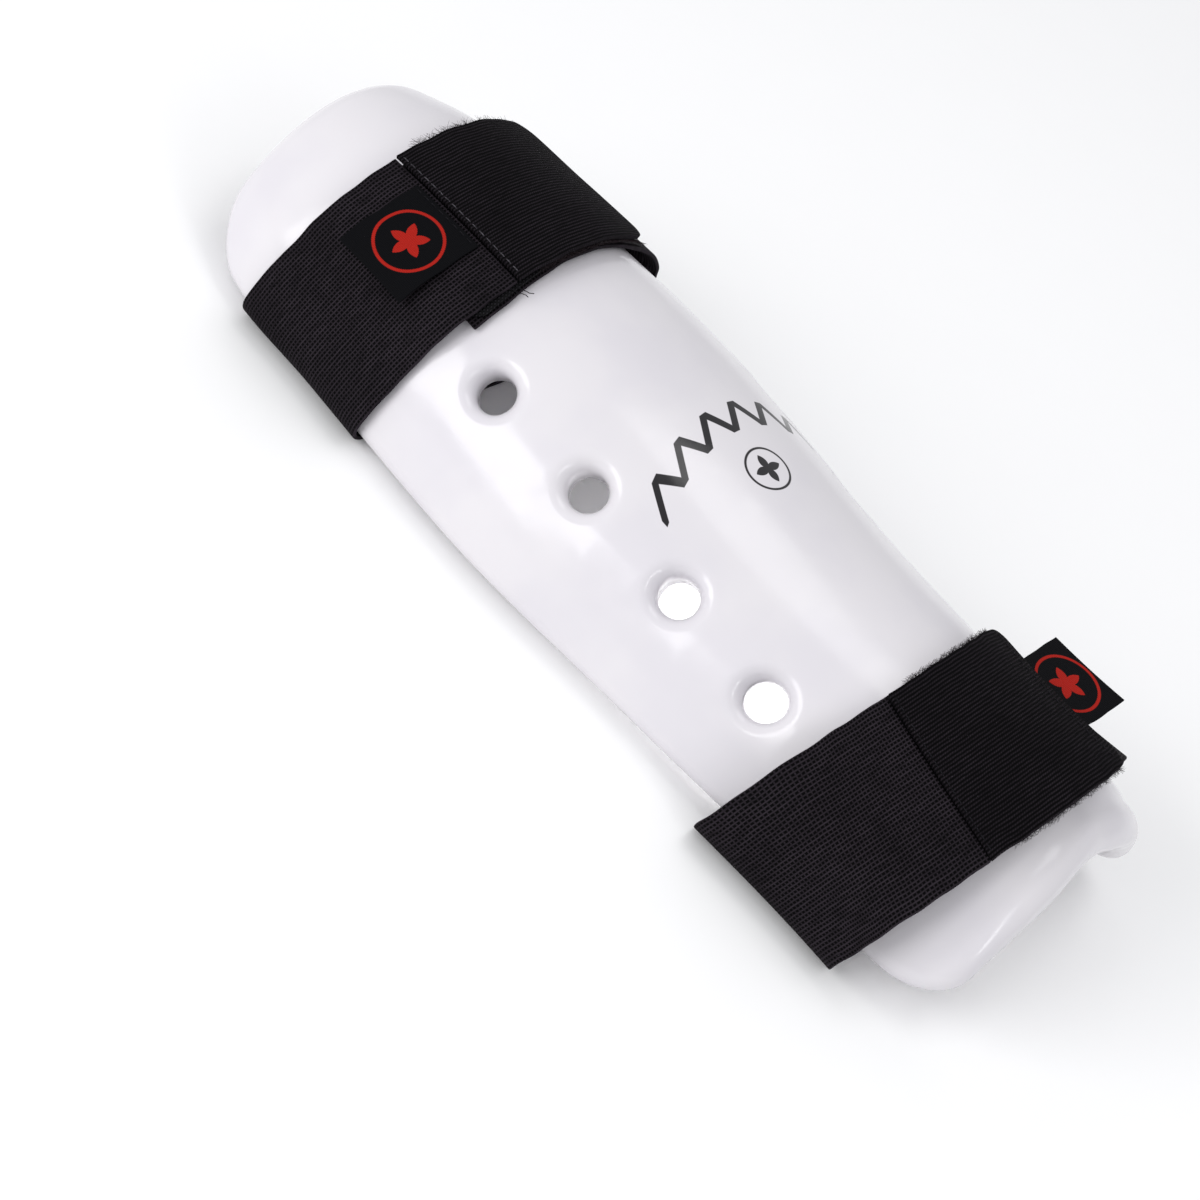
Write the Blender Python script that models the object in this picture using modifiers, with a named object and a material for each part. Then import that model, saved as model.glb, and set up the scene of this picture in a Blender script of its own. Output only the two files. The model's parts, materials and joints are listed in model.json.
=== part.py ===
"""Forearm guard: a dipped-foam half shell worn over the forearm, held by two elastic wrap straps.

Frame: +X along the guard to its notched wrist end, +Y across it, +Z up through its crest.
The origin is on the floor under the middle. The open side faces down, and the guard lies on
the flat runs of its two straps. Each strap is one elastic loop whose ends close with hook and
loop tape on the crest. The closing end is a flap of its own, hinged along its stitched seam.
"""
import math

import bmesh
import bpy
from mathutils import Vector

MM = 0.001
COLLECTION_NAME = "forearm_guard"
CUTTER_COLLECTION_NAME = "cutters"

# Shell
LENGTH = 296.0 * MM
WALL = 11.5 * MM
SKIN = 1.2 * MM
GAP = 0.3 * MM
FOAM_GAP = 0.8 * MM
SHELL_FLOOR = 2.0 * MM
ELBOW_BOW = 3.0 * MM
ELBOW_CORNER = 19.0 * MM
WRIST_CORNER = 17.5 * MM
NOTCH_DEPTH = 2.6 * MM
NOTCH_WIDTH = 22.0 * MM
# place along the length, half width, crest height over the edges, slope at the edges, their rise
SECTIONS = (
    (0.00, 42.0 * MM, 43.5 * MM, 90.0, 0.0),
    (0.08, 52.0 * MM, 50.5 * MM, 90.0, 0.0),
    (0.20, 55.0 * MM, 53.5 * MM, 90.0, 0.0),
    (0.42, 59.5 * MM, 53.5 * MM, 90.0, 0.0),
    (0.65, 55.0 * MM, 48.0 * MM, 90.0, 0.0),
    (0.80, 53.5 * MM, 46.5 * MM, 85.0, 1.5 * MM),
    (0.90, 55.0 * MM, 44.5 * MM, 80.0, 3.5 * MM),
    (1.00, 55.0 * MM, 35.5 * MM, 65.0, 7.5 * MM),
)
# Half hoops that the straps are drawn on: place along the length, half width, height
HOOPS = (
    (0.00, 42.0 * MM, 43.5 * MM),
    (0.08, 52.0 * MM, 50.5 * MM),
    (0.20, 55.0 * MM, 53.5 * MM),
    (0.42, 59.5 * MM, 53.5 * MM),
    (0.65, 55.0 * MM, 48.0 * MM),
    (0.88, 52.0 * MM, 48.5 * MM),
    (1.00, 54.0 * MM, 54.0 * MM),
)
SHELL_STEPS_LONG = 20
SHELL_STEPS_ROUND = 14
# Rounding of the rim as a share of the wall, and the edges that count as rim
RIM_SHARE = 0.42
RIM_STEPS = 2
RIM_EDGE_ANGLE = 50.0

# Vents: place along X and angle round the shell, the same on both sides
VENTS = ((-46.0 * MM, 48.0), (-9.5 * MM, 47.0), (27.0 * MM, 48.5), (62.0 * MM, 52.5))
VENT_RADIUS = 5.6 * MM
DISH_RADIUS = 8.8 * MM
DISH_DEPTH = 2.5 * MM
CUTTER_OUT = 4.0 * MM
VENT_SIDES = 14
# Hole in the coat's inner face
DIP_HOLE_RADIUS = 1.5 * MM
DIP_HOLE_DEPTH = 6.0 * MM
DIP_HOLE_SIDES = 10
DIP_HOLE_X = -100.0 * MM

# Straps
STRAP_WIDTH = 50.0 * MM
ELASTIC = 1.2 * MM
TAPE = 0.9 * MM
TIP_RADIUS = 6.0 * MM
TIP_STEPS = (0.0, 0.12, 0.4, 1.0)
STEP_ANGLE = 7.5
EDGE_ANGLE = 83.0
SLANT_FADE = 23.0
RISE_ANGLE = 14.0
# Angle where the under layer begins to drift along the shell, and the angle it drifts over
SHIFT_START = -2.0
SHIFT_RUN = 38.0
CORNER_STEPS = 4
STEPS_ACROSS = 2
LABEL = 0.5 * MM
LABEL_WIDTH = 25.0 * MM
LABEL_CURL = 1.6
LABEL_STEPS = 4
THREAD_RADIUS = 0.3 * MM
STITCH_PITCH = 3.0 * MM
STITCH_SWAY = 0.4 * MM
# Angles round the shell that set the tapes, labels and stitches in from the layers' ends
TAPE_INSET = 1.0
SEAM_INSET = 0.5
FLAP_STITCH_INSET = 4.0
TAPE_STITCH_INSET = 2.0
LABEL_STITCH_INSET = 1.5
ELBOW_LABEL_OFFSET = 1.6
WRIST_LABEL_OFFSET = 1.0
# Widths of the tapes and of the runs of stitches
HOOK_WIDTH = STRAP_WIDTH - 2 * MM
LOOP_WIDTH = STRAP_WIDTH - MM
FLAP_STITCH_WIDTH = STRAP_WIDTH - 3 * MM
TAPE_STITCH_WIDTH = STRAP_WIDTH - 4 * MM
LABEL_STITCH_WIDTH = LABEL_WIDTH - 2 * MM

# Lift of each layer's middle over the strap's inner face, from the shell outwards
UNDER_LIFT = ELASTIC / 2
UNDER_TAPE_LIFT = ELASTIC + GAP + TAPE / 2
UPPER_TAPE_LIFT = UNDER_TAPE_LIFT + TAPE + GAP
FLAP_LIFT = UPPER_TAPE_LIFT + TAPE / 2 + GAP + ELASTIC / 2
BAND_TOP_LIFT = UPPER_TAPE_LIFT - TAPE / 2 + ELASTIC / 2
THREAD_REST = GAP + THREAD_RADIUS

SMOOTH_EDGE_ANGLE = 40.0

# name, colour, roughness
MATERIALS = {
    "vinyl": ("white_vinyl", (0.86, 0.85, 0.88), 0.20),
    "foam": ("foam", (0.75, 0.74, 0.70), 0.90),
    "elastic": ("black_elastic", (0.012, 0.010, 0.014), 0.80),
    "hook": ("hook_tape", (0.010, 0.009, 0.011), 0.50),
    "loop": ("loop_tape", (0.014, 0.012, 0.016), 0.95),
    "label": ("woven_label", (0.012, 0.012, 0.018), 0.70),
    "thread": ("thread", (0.030, 0.030, 0.035), 0.60),
}


class Strap:
    """Where one strap runs: its middle, its lean, and how far it stands off the shell.

    Its label turns through the sweep and rises off the strap, and its shifts are along the shell.
    """

    def __init__(self, name, middle, lean, slant, standoff, under_tip, under_tape_end, root,
                 flap_tip, flap_side, band_rise, label_sweep, label_rise, label_shift, under_shift):
        self.name = name
        self.middle = middle
        self.lean = math.tan(math.radians(lean))
        self.slant = slant
        self.standoff = standoff
        self.under_tip = under_tip
        self.under_tape_end = under_tape_end
        self.root = root
        self.flap_tip = flap_tip
        self.flap_side = flap_side
        self.band_rise = band_rise
        self.label_sweep = label_sweep
        self.label_rise = label_rise
        self.label_shift = label_shift
        self.under_shift = under_shift


# Columns of the standoff rows: under layer and near band
UNDER_SIDE = 1
BAND_SIDE = 2
# standoff rows: angle round the shell, gap to the under layer, gap to the near band
ELBOW = Strap(
    "elbow",
    middle=-92.5 * MM,
    lean=3.6,
    slant=0.0,
    standoff=(
        (-90.0, 2.2 * MM, 2.2 * MM),
        (-60.0, 1.3 * MM, 1.5 * MM),
        (-44.0, 1.3 * MM, 1.3 * MM),
        (0.0, 1.3 * MM, 1.3 * MM),
        (35.0, 1.8 * MM, 1.8 * MM),
        (60.0, 8.0 * MM, 8.0 * MM),
        (90.0, 11.0 * MM, 11.0 * MM),
    ),
    under_tip=-41.5,
    under_tape_end=37.0,
    root=-25.0,
    flap_tip=32.0,
    flap_side=BAND_SIDE,
    band_rise=-46.0,
    label_sweep=-25.0,
    label_rise=2.5 * MM,
    label_shift=-2.0 * MM,
    under_shift=3.0 * MM,
)
WRIST = Strap(
    "wrist",
    middle=97.0 * MM,
    lean=12.2,
    slant=0.2,
    standoff=(
        (-90.0, 7.0 * MM, 13.5 * MM),
        (-60.0, 2.5 * MM, 8.0 * MM),
        (-44.0, 1.6 * MM, 3.0 * MM),
        (0.0, 1.5 * MM, 1.5 * MM),
        (35.0, 2.2 * MM, 2.2 * MM),
        (60.0, 6.0 * MM, 6.0 * MM),
        (90.0, 12.0 * MM, 12.0 * MM),
    ),
    under_tip=-56.0,
    under_tape_end=23.5,
    root=-34.0,
    flap_tip=21.5,
    flap_side=UNDER_SIDE,
    band_rise=-62.0,
    label_sweep=16.0,
    label_rise=11.0 * MM,
    label_shift=-1.0 * MM,
    under_shift=0.0,
)

# ---------------------------------------------------------------- curves through tables


def table_slope(rows, index, column):
    """Slope of a table's column at one of its rows."""
    slopes = []
    weights = []
    for low, high in ((index - 1, index), (index, index + 1)):
        if low >= 0 and high < len(rows):
            run = rows[high][0] - rows[low][0]
            slopes.append((rows[high][column] - rows[low][column]) / run)
            weights.append(1.0 / run)
    return sum(s * w for s, w in zip(slopes, weights)) / sum(weights)


def table_value(rows, place, column):
    """Value of a column at a place between the rows, on a smooth curve through them."""
    place = min(max(place, rows[0][0]), rows[-1][0])
    index = max(i for i in range(len(rows) - 1) if rows[i][0] <= place)
    low, high = rows[index], rows[index + 1]
    run = high[0] - low[0]
    t = (place - low[0]) / run
    return (
        (2 * t**3 - 3 * t**2 + 1) * low[column]
        + (t**3 - 2 * t**2 + t) * run * table_slope(rows, index, column)
        + (3 * t**2 - 2 * t**3) * high[column]
        + (t**3 - t**2) * run * table_slope(rows, index + 1, column)
    )


def hoop_point(x, angle, lift):
    """Point at an angle from the crest on a half hoop over the shell, lifted off it."""
    place = x / LENGTH + 0.5
    half_width = table_value(HOOPS, place, 1) + lift
    height = table_value(HOOPS, place, 2) + lift
    turn = math.radians(angle)
    return Vector((x, half_width * math.sin(turn), SHELL_FLOOR + height * math.cos(turn)))


def shell_point(x, angle, lift):
    """Point of the shell, 90 degrees being its edge, lifted straight off its outer face."""
    place = x / LENGTH + 0.5
    slope = math.radians(table_value(SECTIONS, place, 3))
    wide = table_value(SECTIONS, place, 1) / math.sin(slope)
    high = table_value(SECTIONS, place, 2) / (1 - math.cos(slope))
    floor = SHELL_FLOOR + table_value(SECTIONS, place, 4)
    turn = slope * angle / 90.0
    face = Vector((x, wide * math.sin(turn), floor + high * (math.cos(turn) - math.cos(slope))))
    return face + lift * Vector((0, high * math.sin(turn), wide * math.cos(turn))).normalized()


def shell_normal(x, angle):
    """Direction straight out of the shell."""
    step_x = shell_point(x + MM, angle, 0) - shell_point(x - MM, angle, 0)
    step_round = shell_point(x, angle + 1, 0) - shell_point(x, angle - 1, 0)
    return step_x.cross(step_round).normalized()


# ---------------------------------------------------------------- object helpers


def make_collection(name):
    collection = bpy.data.collections.new(name)
    bpy.context.scene.collection.children.link(collection)
    return collection


def make_material(name, color, roughness):
    material = bpy.data.materials.new(name)
    material.use_nodes = True
    shader = material.node_tree.nodes["Principled BSDF"]
    shader.inputs["Base Color"].default_value = (*color, 1.0)
    shader.inputs["Roughness"].default_value = roughness
    shader.inputs["Metallic"].default_value = 0.0
    return material


def add_object(name, mesh, material, collection, parent=None):
    """Object of a mesh in world coordinates, placed under a parent without moving it."""
    piece = bpy.data.objects.new(name, mesh)
    collection.objects.link(piece)
    if material:
        mesh.materials.append(material)
    if parent:
        bpy.context.view_layer.update()
        piece.parent = parent
        piece.matrix_parent_inverse = parent.matrix_world.inverted()
    return piece


def sheet_mesh(name, steps_long, steps_across, place):
    """Grid mesh whose point at (0..1, 0..1) is put where the place function says."""
    shape = bmesh.new()
    bmesh.ops.create_grid(shape, x_segments=steps_long, y_segments=steps_across, size=0.5)
    for vert in shape.verts:
        vert.co = place(vert.co.x + 0.5, vert.co.y + 0.5)
    mesh = bpy.data.meshes.new(name)
    shape.to_mesh(mesh)
    shape.free()
    mesh.shade_smooth()
    mesh.set_sharp_from_angle(angle=math.radians(SMOOTH_EDGE_ANGLE))
    return mesh


def thicken(piece, thickness):
    solid = piece.modifiers.new("thickness", "SOLIDIFY")
    solid.thickness = thickness
    solid.offset = 0.0
    solid.use_even_offset = True


def cut(piece, cutter):
    hole = piece.modifiers.new("cut", "BOOLEAN")
    hole.operation = "DIFFERENCE"
    hole.object = cutter


def hide_cutter(cutter):
    cutter.hide_render = True
    cutter.display_type = "WIRE"


# ---------------------------------------------------------------- shell


def corner_trim(angle, half_width, corner_radius, inset):
    """How far a rounded corner, shrunk by the inset, cuts the end back at an angle."""
    arc = (math.pi / 2 - abs(math.radians(angle))) * half_width - inset
    radius = corner_radius - inset
    depth = min(max(0.0, 1.0 - arc / radius), 1.0)
    return inset + radius * (1.0 - math.sqrt(1.0 - depth**2))


def elbow_end(angle, inset):
    bow = ELBOW_BOW * math.sin(math.radians(angle)) ** 2
    return -LENGTH / 2 + bow + corner_trim(angle, SECTIONS[0][1], ELBOW_CORNER, inset)


def wrist_end(angle, inset):
    half_width = SECTIONS[-1][1]
    arc = math.radians(angle) * half_width
    notch = NOTCH_DEPTH * math.exp(-((arc / NOTCH_WIDTH) ** 2))
    return LENGTH / 2 - notch - corner_trim(angle, half_width, WRIST_CORNER, inset)


def make_vent_cutters(name, inset, collection):
    """One funnel for each vent: a straight bore with a dished mouth, grown by the inset."""
    bore = VENT_RADIUS + inset
    mouth = bore + (DISH_RADIUS - VENT_RADIUS) * (DISH_DEPTH + CUTTER_OUT) / DISH_DEPTH
    deep = -2 * WALL
    profile = ((0, CUTTER_OUT), (mouth, CUTTER_OUT), (bore, -DISH_DEPTH), (bore, deep), (0, deep))
    cutters = []
    for number, (x, angle) in enumerate(VENTS):
        for side in (-1, 1):
            shape = bmesh.new()
            verts = [shape.verts.new((radius, 0, height)) for radius, height in profile]
            for first, second in zip(verts, verts[1:]):
                shape.edges.new((first, second))
            mesh = bpy.data.meshes.new(name)
            shape.to_mesh(mesh)
            shape.free()
            side_name = "near" if side < 0 else "far"
            cutter = add_object(f"{name}_{number + 1}_{side_name}", mesh, None, collection)
            turned = cutter.modifiers.new("turned", "SCREW")
            turned.steps = VENT_SIDES
            turned.render_steps = VENT_SIDES
            turned.use_merge_vertices = True
            turned.merge_threshold = 0.0001
            cutter.location = shell_point(x, side * angle, 0)
            cutter.rotation_mode = "QUATERNION"
            outward = shell_normal(x, side * angle)
            if outward.z < 0:
                outward.negate()
            cutter.rotation_quaternion = outward.to_track_quat("Z", "Y")
            hide_cutter(cutter)
            cutters.append(cutter)
    return cutters


def make_shell_body(name, inset, material, collection, cutter_collection):
    """Closed half shell, shrunk all round by the inset, with its vents cut."""

    def place(along, around):
        widest = 90.0 - math.degrees(inset / SECTIONS[0][1])
        angle = widest * (2 * around - 1)
        start = elbow_end(angle, inset)
        finish = wrist_end(angle, inset)
        return shell_point(start + (finish - start) * along, angle, -WALL / 2)

    mesh = sheet_mesh(name, SHELL_STEPS_LONG, SHELL_STEPS_ROUND, place)
    body = add_object(name, mesh, material, collection)
    thickness = WALL - 2 * inset
    thicken(body, thickness)
    rim = body.modifiers.new("rim", "BEVEL")
    rim.width = RIM_SHARE * thickness
    rim.segments = RIM_STEPS
    rim.limit_method = "ANGLE"
    rim.angle_limit = math.radians(RIM_EDGE_ANGLE)
    for cutter in make_vent_cutters(f"{name}_vent", inset, cutter_collection):
        cut(body, cutter)
    return body


def make_dip_hole_cutter(collection):
    """Bore through the coat's inner face, where the foam hung while it was dipped."""
    shape = bmesh.new()
    bmesh.ops.create_cone(
        shape,
        cap_ends=True,
        segments=DIP_HOLE_SIDES,
        radius1=DIP_HOLE_RADIUS,
        radius2=DIP_HOLE_RADIUS,
        depth=DIP_HOLE_DEPTH,
    )
    mesh = bpy.data.meshes.new("dip_hole")
    shape.to_mesh(mesh)
    shape.free()
    cutter = add_object("dip_hole", mesh, None, collection)
    cutter.location = shell_point(DIP_HOLE_X, 0, SKIN + GAP - WALL - DIP_HOLE_DEPTH / 2)
    hide_cutter(cutter)
    return cutter


def make_shell(materials, parts, cutters):
    make_shell_body("foam_core", SKIN + FOAM_GAP, materials["foam"], parts, cutters)
    coat = make_shell_body("vinyl_coat", 0.0, materials["vinyl"], parts, cutters)
    hollow = make_shell_body("coat_hollow", SKIN, None, cutters, cutters)
    hide_cutter(hollow)
    cut(coat, hollow)
    cut(coat, make_dip_hole_cutter(cutters))


# ---------------------------------------------------------------- straps


def smooth_step(value):
    value = min(max(value, 0.0), 1.0)
    return value * value * (3 - 2 * value)


def even_steps(start, finish, longest):
    """Values from start to finish, both included, no further apart than the longest step."""
    steps = math.ceil(abs(finish - start) / longest)
    return [start + (finish - start) * step / steps for step in range(steps + 1)]


def strap_point(strap, angle, across, lift, side):
    """Point of a strap over the shell: across from its middle line, lifted off its inner face."""
    slant = strap.slant * smooth_step((EDGE_ANGLE - abs(angle)) / SLANT_FADE)
    turned = angle - math.degrees(slant * across / SECTIONS[0][1])
    lift += table_value(strap.standoff, turned, side)
    x = strap.middle + across
    if side == UNDER_SIDE:
        x += strap.under_shift * smooth_step((SHIFT_START - angle) / SHIFT_RUN)
    drawn = hoop_point(x, turned, lift)
    return hoop_point(x + strap.lean * drawn.z, turned, lift)


def band_lift(strap, angle):
    """Lift of the near band: against the shell low down, over the under layer higher up."""
    rise = smooth_step((angle - strap.band_rise) / RISE_ANGLE + 1.0)
    return UNDER_LIFT + (BAND_TOP_LIFT - UNDER_LIFT) * rise


def corner_point(strap, turn, sign, across, side):
    """Point of the lower corner, from the flank (turn 0) down to the flat run (turn 90)."""
    flank = strap_point(strap, sign * EDGE_ANGLE, across, UNDER_LIFT, side)
    radius = flank.z - ELASTIC / 2
    turned = math.radians(turn)
    y = flank.y - sign * radius * (1 - math.cos(turned))
    z = flank.z - radius * math.sin(turned)
    return Vector((strap.middle + across + strap.lean * z, y, z))


def strap_route(strap):
    """Points of the whole strap as functions of the distance across it, tip to root."""
    route = []
    turns = [90.0 * (step + 1) / CORNER_STEPS for step in range(CORNER_STEPS)]
    for angle in even_steps(strap.under_tip, EDGE_ANGLE, STEP_ANGLE):
        route.append(lambda across, angle=angle: strap_point(strap, angle, across, UNDER_LIFT, UNDER_SIDE))
    for turn in turns:
        route.append(lambda across, turn=turn: corner_point(strap, turn, 1, across, UNDER_SIDE))
    for turn in reversed(turns):
        route.append(lambda across, turn=turn: corner_point(strap, turn, -1, across, BAND_SIDE))
    for angle in even_steps(-EDGE_ANGLE, strap.root, STEP_ANGLE):
        lift = band_lift(strap, angle)
        route.append(
            lambda across, angle=angle, lift=lift: strap_point(strap, angle, across, lift, BAND_SIDE)
        )
    return route


def make_strap_band(strap, materials, parts, body):
    """The strap's elastic, from its under tip round the arm side and up to the flap's seam."""
    route = strap_route(strap)
    last = len(route) - 1

    def place(along, across):
        return route[round(along * last)]((across - 0.5) * STRAP_WIDTH)

    mesh = sheet_mesh(f"{strap.name}_strap", last, STEPS_ACROSS, place)
    thicken(add_object(f"{strap.name}_strap", mesh, materials["elastic"], parts, body), ELASTIC)


def tip_width(distance):
    """Width left at a distance from a tip with rounded corners."""
    reach = max(0.0, 1.0 - distance / TIP_RADIUS)
    return STRAP_WIDTH - 2 * TIP_RADIUS * (1.0 - math.sqrt(1.0 - reach**2))


def make_layer(strap, name, root, tip, lift, side, width, thickness, material, parts, body):
    """Patch of one layer, from its straight root to a tip with rounded corners."""
    corner = math.copysign(math.degrees(TIP_RADIUS / SECTIONS[1][1]), tip - root)
    rows = [(angle, width) for angle in even_steps(root, tip - corner, STEP_ANGLE)]
    for reach in reversed(TIP_STEPS[:-1]):
        rows.append((tip - corner * reach, min(width, tip_width(TIP_RADIUS * reach))))
    if tip < root:
        rows.reverse()
    last = len(rows) - 1

    def place(along, across):
        angle, local_width = rows[round(along * last)]
        return strap_point(strap, angle, (across - 0.5) * local_width, lift, side)

    mesh = sheet_mesh(name, last, STEPS_ACROSS, place)
    thicken(add_object(name, mesh, material, parts, body), thickness)


def make_label(strap, root, lift, side, materials, parts, body):
    """Woven label sewn along one edge, its free edge standing off the strap."""

    def place(along, across):
        rise = lift + strap.label_rise * along**LABEL_CURL
        offset = (across - 0.5) * LABEL_WIDTH + strap.label_shift
        return strap_point(strap, root + strap.label_sweep * along, offset, rise, side)

    mesh = sheet_mesh(f"{strap.name}_label", LABEL_STEPS, STEPS_ACROSS, place)
    thicken(add_object(f"{strap.name}_label", mesh, materials["label"], parts, body), LABEL)


def make_stitching(strap, name, angle, lift, side, width, materials, parts, body, shift=0.0):
    """One run of thread across the strap, weaving to and fro about its seam line."""
    stitches = round(width / STITCH_PITCH)
    curve = bpy.data.curves.new(name, "CURVE")
    curve.dimensions = "3D"
    curve.bevel_depth = THREAD_RADIUS
    curve.bevel_resolution = 0
    curve.use_fill_caps = True
    spline = curve.splines.new("POLY")
    spline.points.add(stitches)
    for number, point in enumerate(spline.points):
        across = (number / stitches - 0.5) * width + shift
        sway = math.degrees(STITCH_SWAY / SECTIONS[1][1]) * (-1) ** number
        point.co = (*strap_point(strap, angle + sway, across, lift, side), 1.0)
    curve.materials.append(materials["thread"])
    piece = bpy.data.objects.new(name, curve)
    parts.objects.link(piece)
    bpy.context.view_layer.update()
    piece.parent = body
    piece.matrix_parent_inverse = body.matrix_world.inverted()


def make_joint_empty(name, location, collection, parent=None):
    joint = bpy.data.objects.new(name, None)
    collection.objects.link(joint)
    joint.location = location
    if parent:
        joint.location = location - parent.matrix_world.translation
        joint.parent = parent
    bpy.context.view_layer.update()
    return joint


def flap_hinge_line(strap):
    """Ends of the line the flap turns about, along its root."""
    half = STRAP_WIDTH / 2
    return [strap_point(strap, strap.root, across, FLAP_LIFT, strap.flap_side) for across in (-half, half)]


def flap_hinge(strap):
    first, second = flap_hinge_line(strap)
    return (first + second) / 2


def make_elbow_strap(materials, parts):
    """Loop tape and label on the closing flap's side; hook tape faces out on the under end."""
    strap = ELBOW
    body = make_joint_empty("elbow_strap_slide", Vector((strap.middle, 0, 0)), parts)
    flap = make_joint_empty("elbow_flap_hinge", flap_hinge(strap), parts, body)
    seam = strap.root
    label_root = seam - ELBOW_LABEL_OFFSET
    label_lift = BAND_TOP_LIFT + ELASTIC / 2 + GAP + LABEL / 2
    make_strap_band(strap, materials, parts, body)
    make_layer(strap, "elbow_hook_pad", strap.under_tape_end, strap.under_tip + TAPE_INSET,
               UNDER_TAPE_LIFT, UNDER_SIDE, HOOK_WIDTH, TAPE, materials["hook"], parts, body)
    make_layer(strap, "elbow_flap", seam + SEAM_INSET, strap.flap_tip,
               FLAP_LIFT, BAND_SIDE, STRAP_WIDTH, ELASTIC, materials["elastic"], parts, flap)
    make_layer(strap, "elbow_loop_pad", seam + 2 * TAPE_INSET, strap.flap_tip - TAPE_INSET,
               UPPER_TAPE_LIFT, BAND_SIDE, LOOP_WIDTH, TAPE, materials["loop"], parts, flap)
    make_label(strap, label_root, label_lift, BAND_SIDE, materials, parts, body)
    make_stitching(strap, "elbow_label_stitching", label_root - LABEL_STITCH_INSET,
                   label_lift + LABEL / 2 + THREAD_REST, BAND_SIDE, LABEL_STITCH_WIDTH,
                   materials, parts, body, strap.label_shift)
    make_stitching(strap, "elbow_loop_stitching", seam + FLAP_STITCH_INSET,
                   FLAP_LIFT + ELASTIC / 2 + THREAD_REST, BAND_SIDE, FLAP_STITCH_WIDTH,
                   materials, parts, flap)
    make_stitching(strap, "elbow_hook_stitching", strap.under_tape_end - TAPE_STITCH_INSET,
                   UNDER_TAPE_LIFT + TAPE / 2 + THREAD_REST, UNDER_SIDE, TAPE_STITCH_WIDTH,
                   materials, parts, body)


def make_wrist_strap(materials, parts):
    """Hook tape under the closing flap; loop tape and label lie on the under end."""
    strap = WRIST
    body = make_joint_empty("wrist_strap_slide", Vector((strap.middle, 0, 0)), parts)
    flap = make_joint_empty("wrist_flap_hinge", flap_hinge(strap), parts, body)
    seam = strap.root
    label_root = strap.under_tape_end + WRIST_LABEL_OFFSET
    label_lift = UNDER_LIFT + ELASTIC / 2 + GAP + LABEL / 2
    make_strap_band(strap, materials, parts, body)
    make_layer(strap, "wrist_loop_pad", strap.under_tape_end, strap.under_tip + TAPE_INSET,
               UNDER_TAPE_LIFT, UNDER_SIDE, LOOP_WIDTH, TAPE, materials["loop"], parts, body)
    make_layer(strap, "wrist_flap", seam + SEAM_INSET, strap.flap_tip,
               FLAP_LIFT, UNDER_SIDE, STRAP_WIDTH, ELASTIC, materials["elastic"], parts, flap)
    make_layer(strap, "wrist_hook_pad", seam + 2 * TAPE_INSET, strap.flap_tip - TAPE_INSET,
               UPPER_TAPE_LIFT, UNDER_SIDE, HOOK_WIDTH, TAPE, materials["hook"], parts, flap)
    make_label(strap, label_root, label_lift, UNDER_SIDE, materials, parts, body)
    make_stitching(strap, "wrist_label_stitching", label_root + LABEL_STITCH_INSET,
                   label_lift + LABEL / 2 + 2 * GAP + THREAD_REST, UNDER_SIDE, LABEL_STITCH_WIDTH,
                   materials, parts, body, strap.label_shift)
    make_stitching(strap, "wrist_loop_stitching", strap.under_tape_end - TAPE_STITCH_INSET,
                   UNDER_TAPE_LIFT + TAPE / 2 + THREAD_REST, UNDER_SIDE, TAPE_STITCH_WIDTH,
                   materials, parts, body)
    make_stitching(strap, "wrist_hook_stitching", seam + FLAP_STITCH_INSET,
                   FLAP_LIFT + ELASTIC / 2 + THREAD_REST, UNDER_SIDE, FLAP_STITCH_WIDTH,
                   materials, parts, flap)


def main():
    for old in list(bpy.data.objects):
        bpy.data.objects.remove(old, do_unlink=True)
    parts = make_collection(COLLECTION_NAME)
    cutters = make_collection(CUTTER_COLLECTION_NAME)
    materials = {key: make_material(*values) for key, values in MATERIALS.items()}
    make_shell(materials, parts, cutters)
    make_elbow_strap(materials, parts)
    make_wrist_strap(materials, parts)


main()
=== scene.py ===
"""Looks of the forearm guard: a dipped-foam half shell in glossy vinyl, with two elastic straps.

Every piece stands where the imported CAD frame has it. The shell's and the straps' curves repeat
the driving dimensions and formulas of the CAD source, so that the fine pieces made here follow
the same surfaces as the solids that they stand for. Distances are in metres, angles in degrees.
"""

import json
import math
import random
from collections import namedtuple

import bpy
from mathutils import Matrix, Vector, noise


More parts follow.
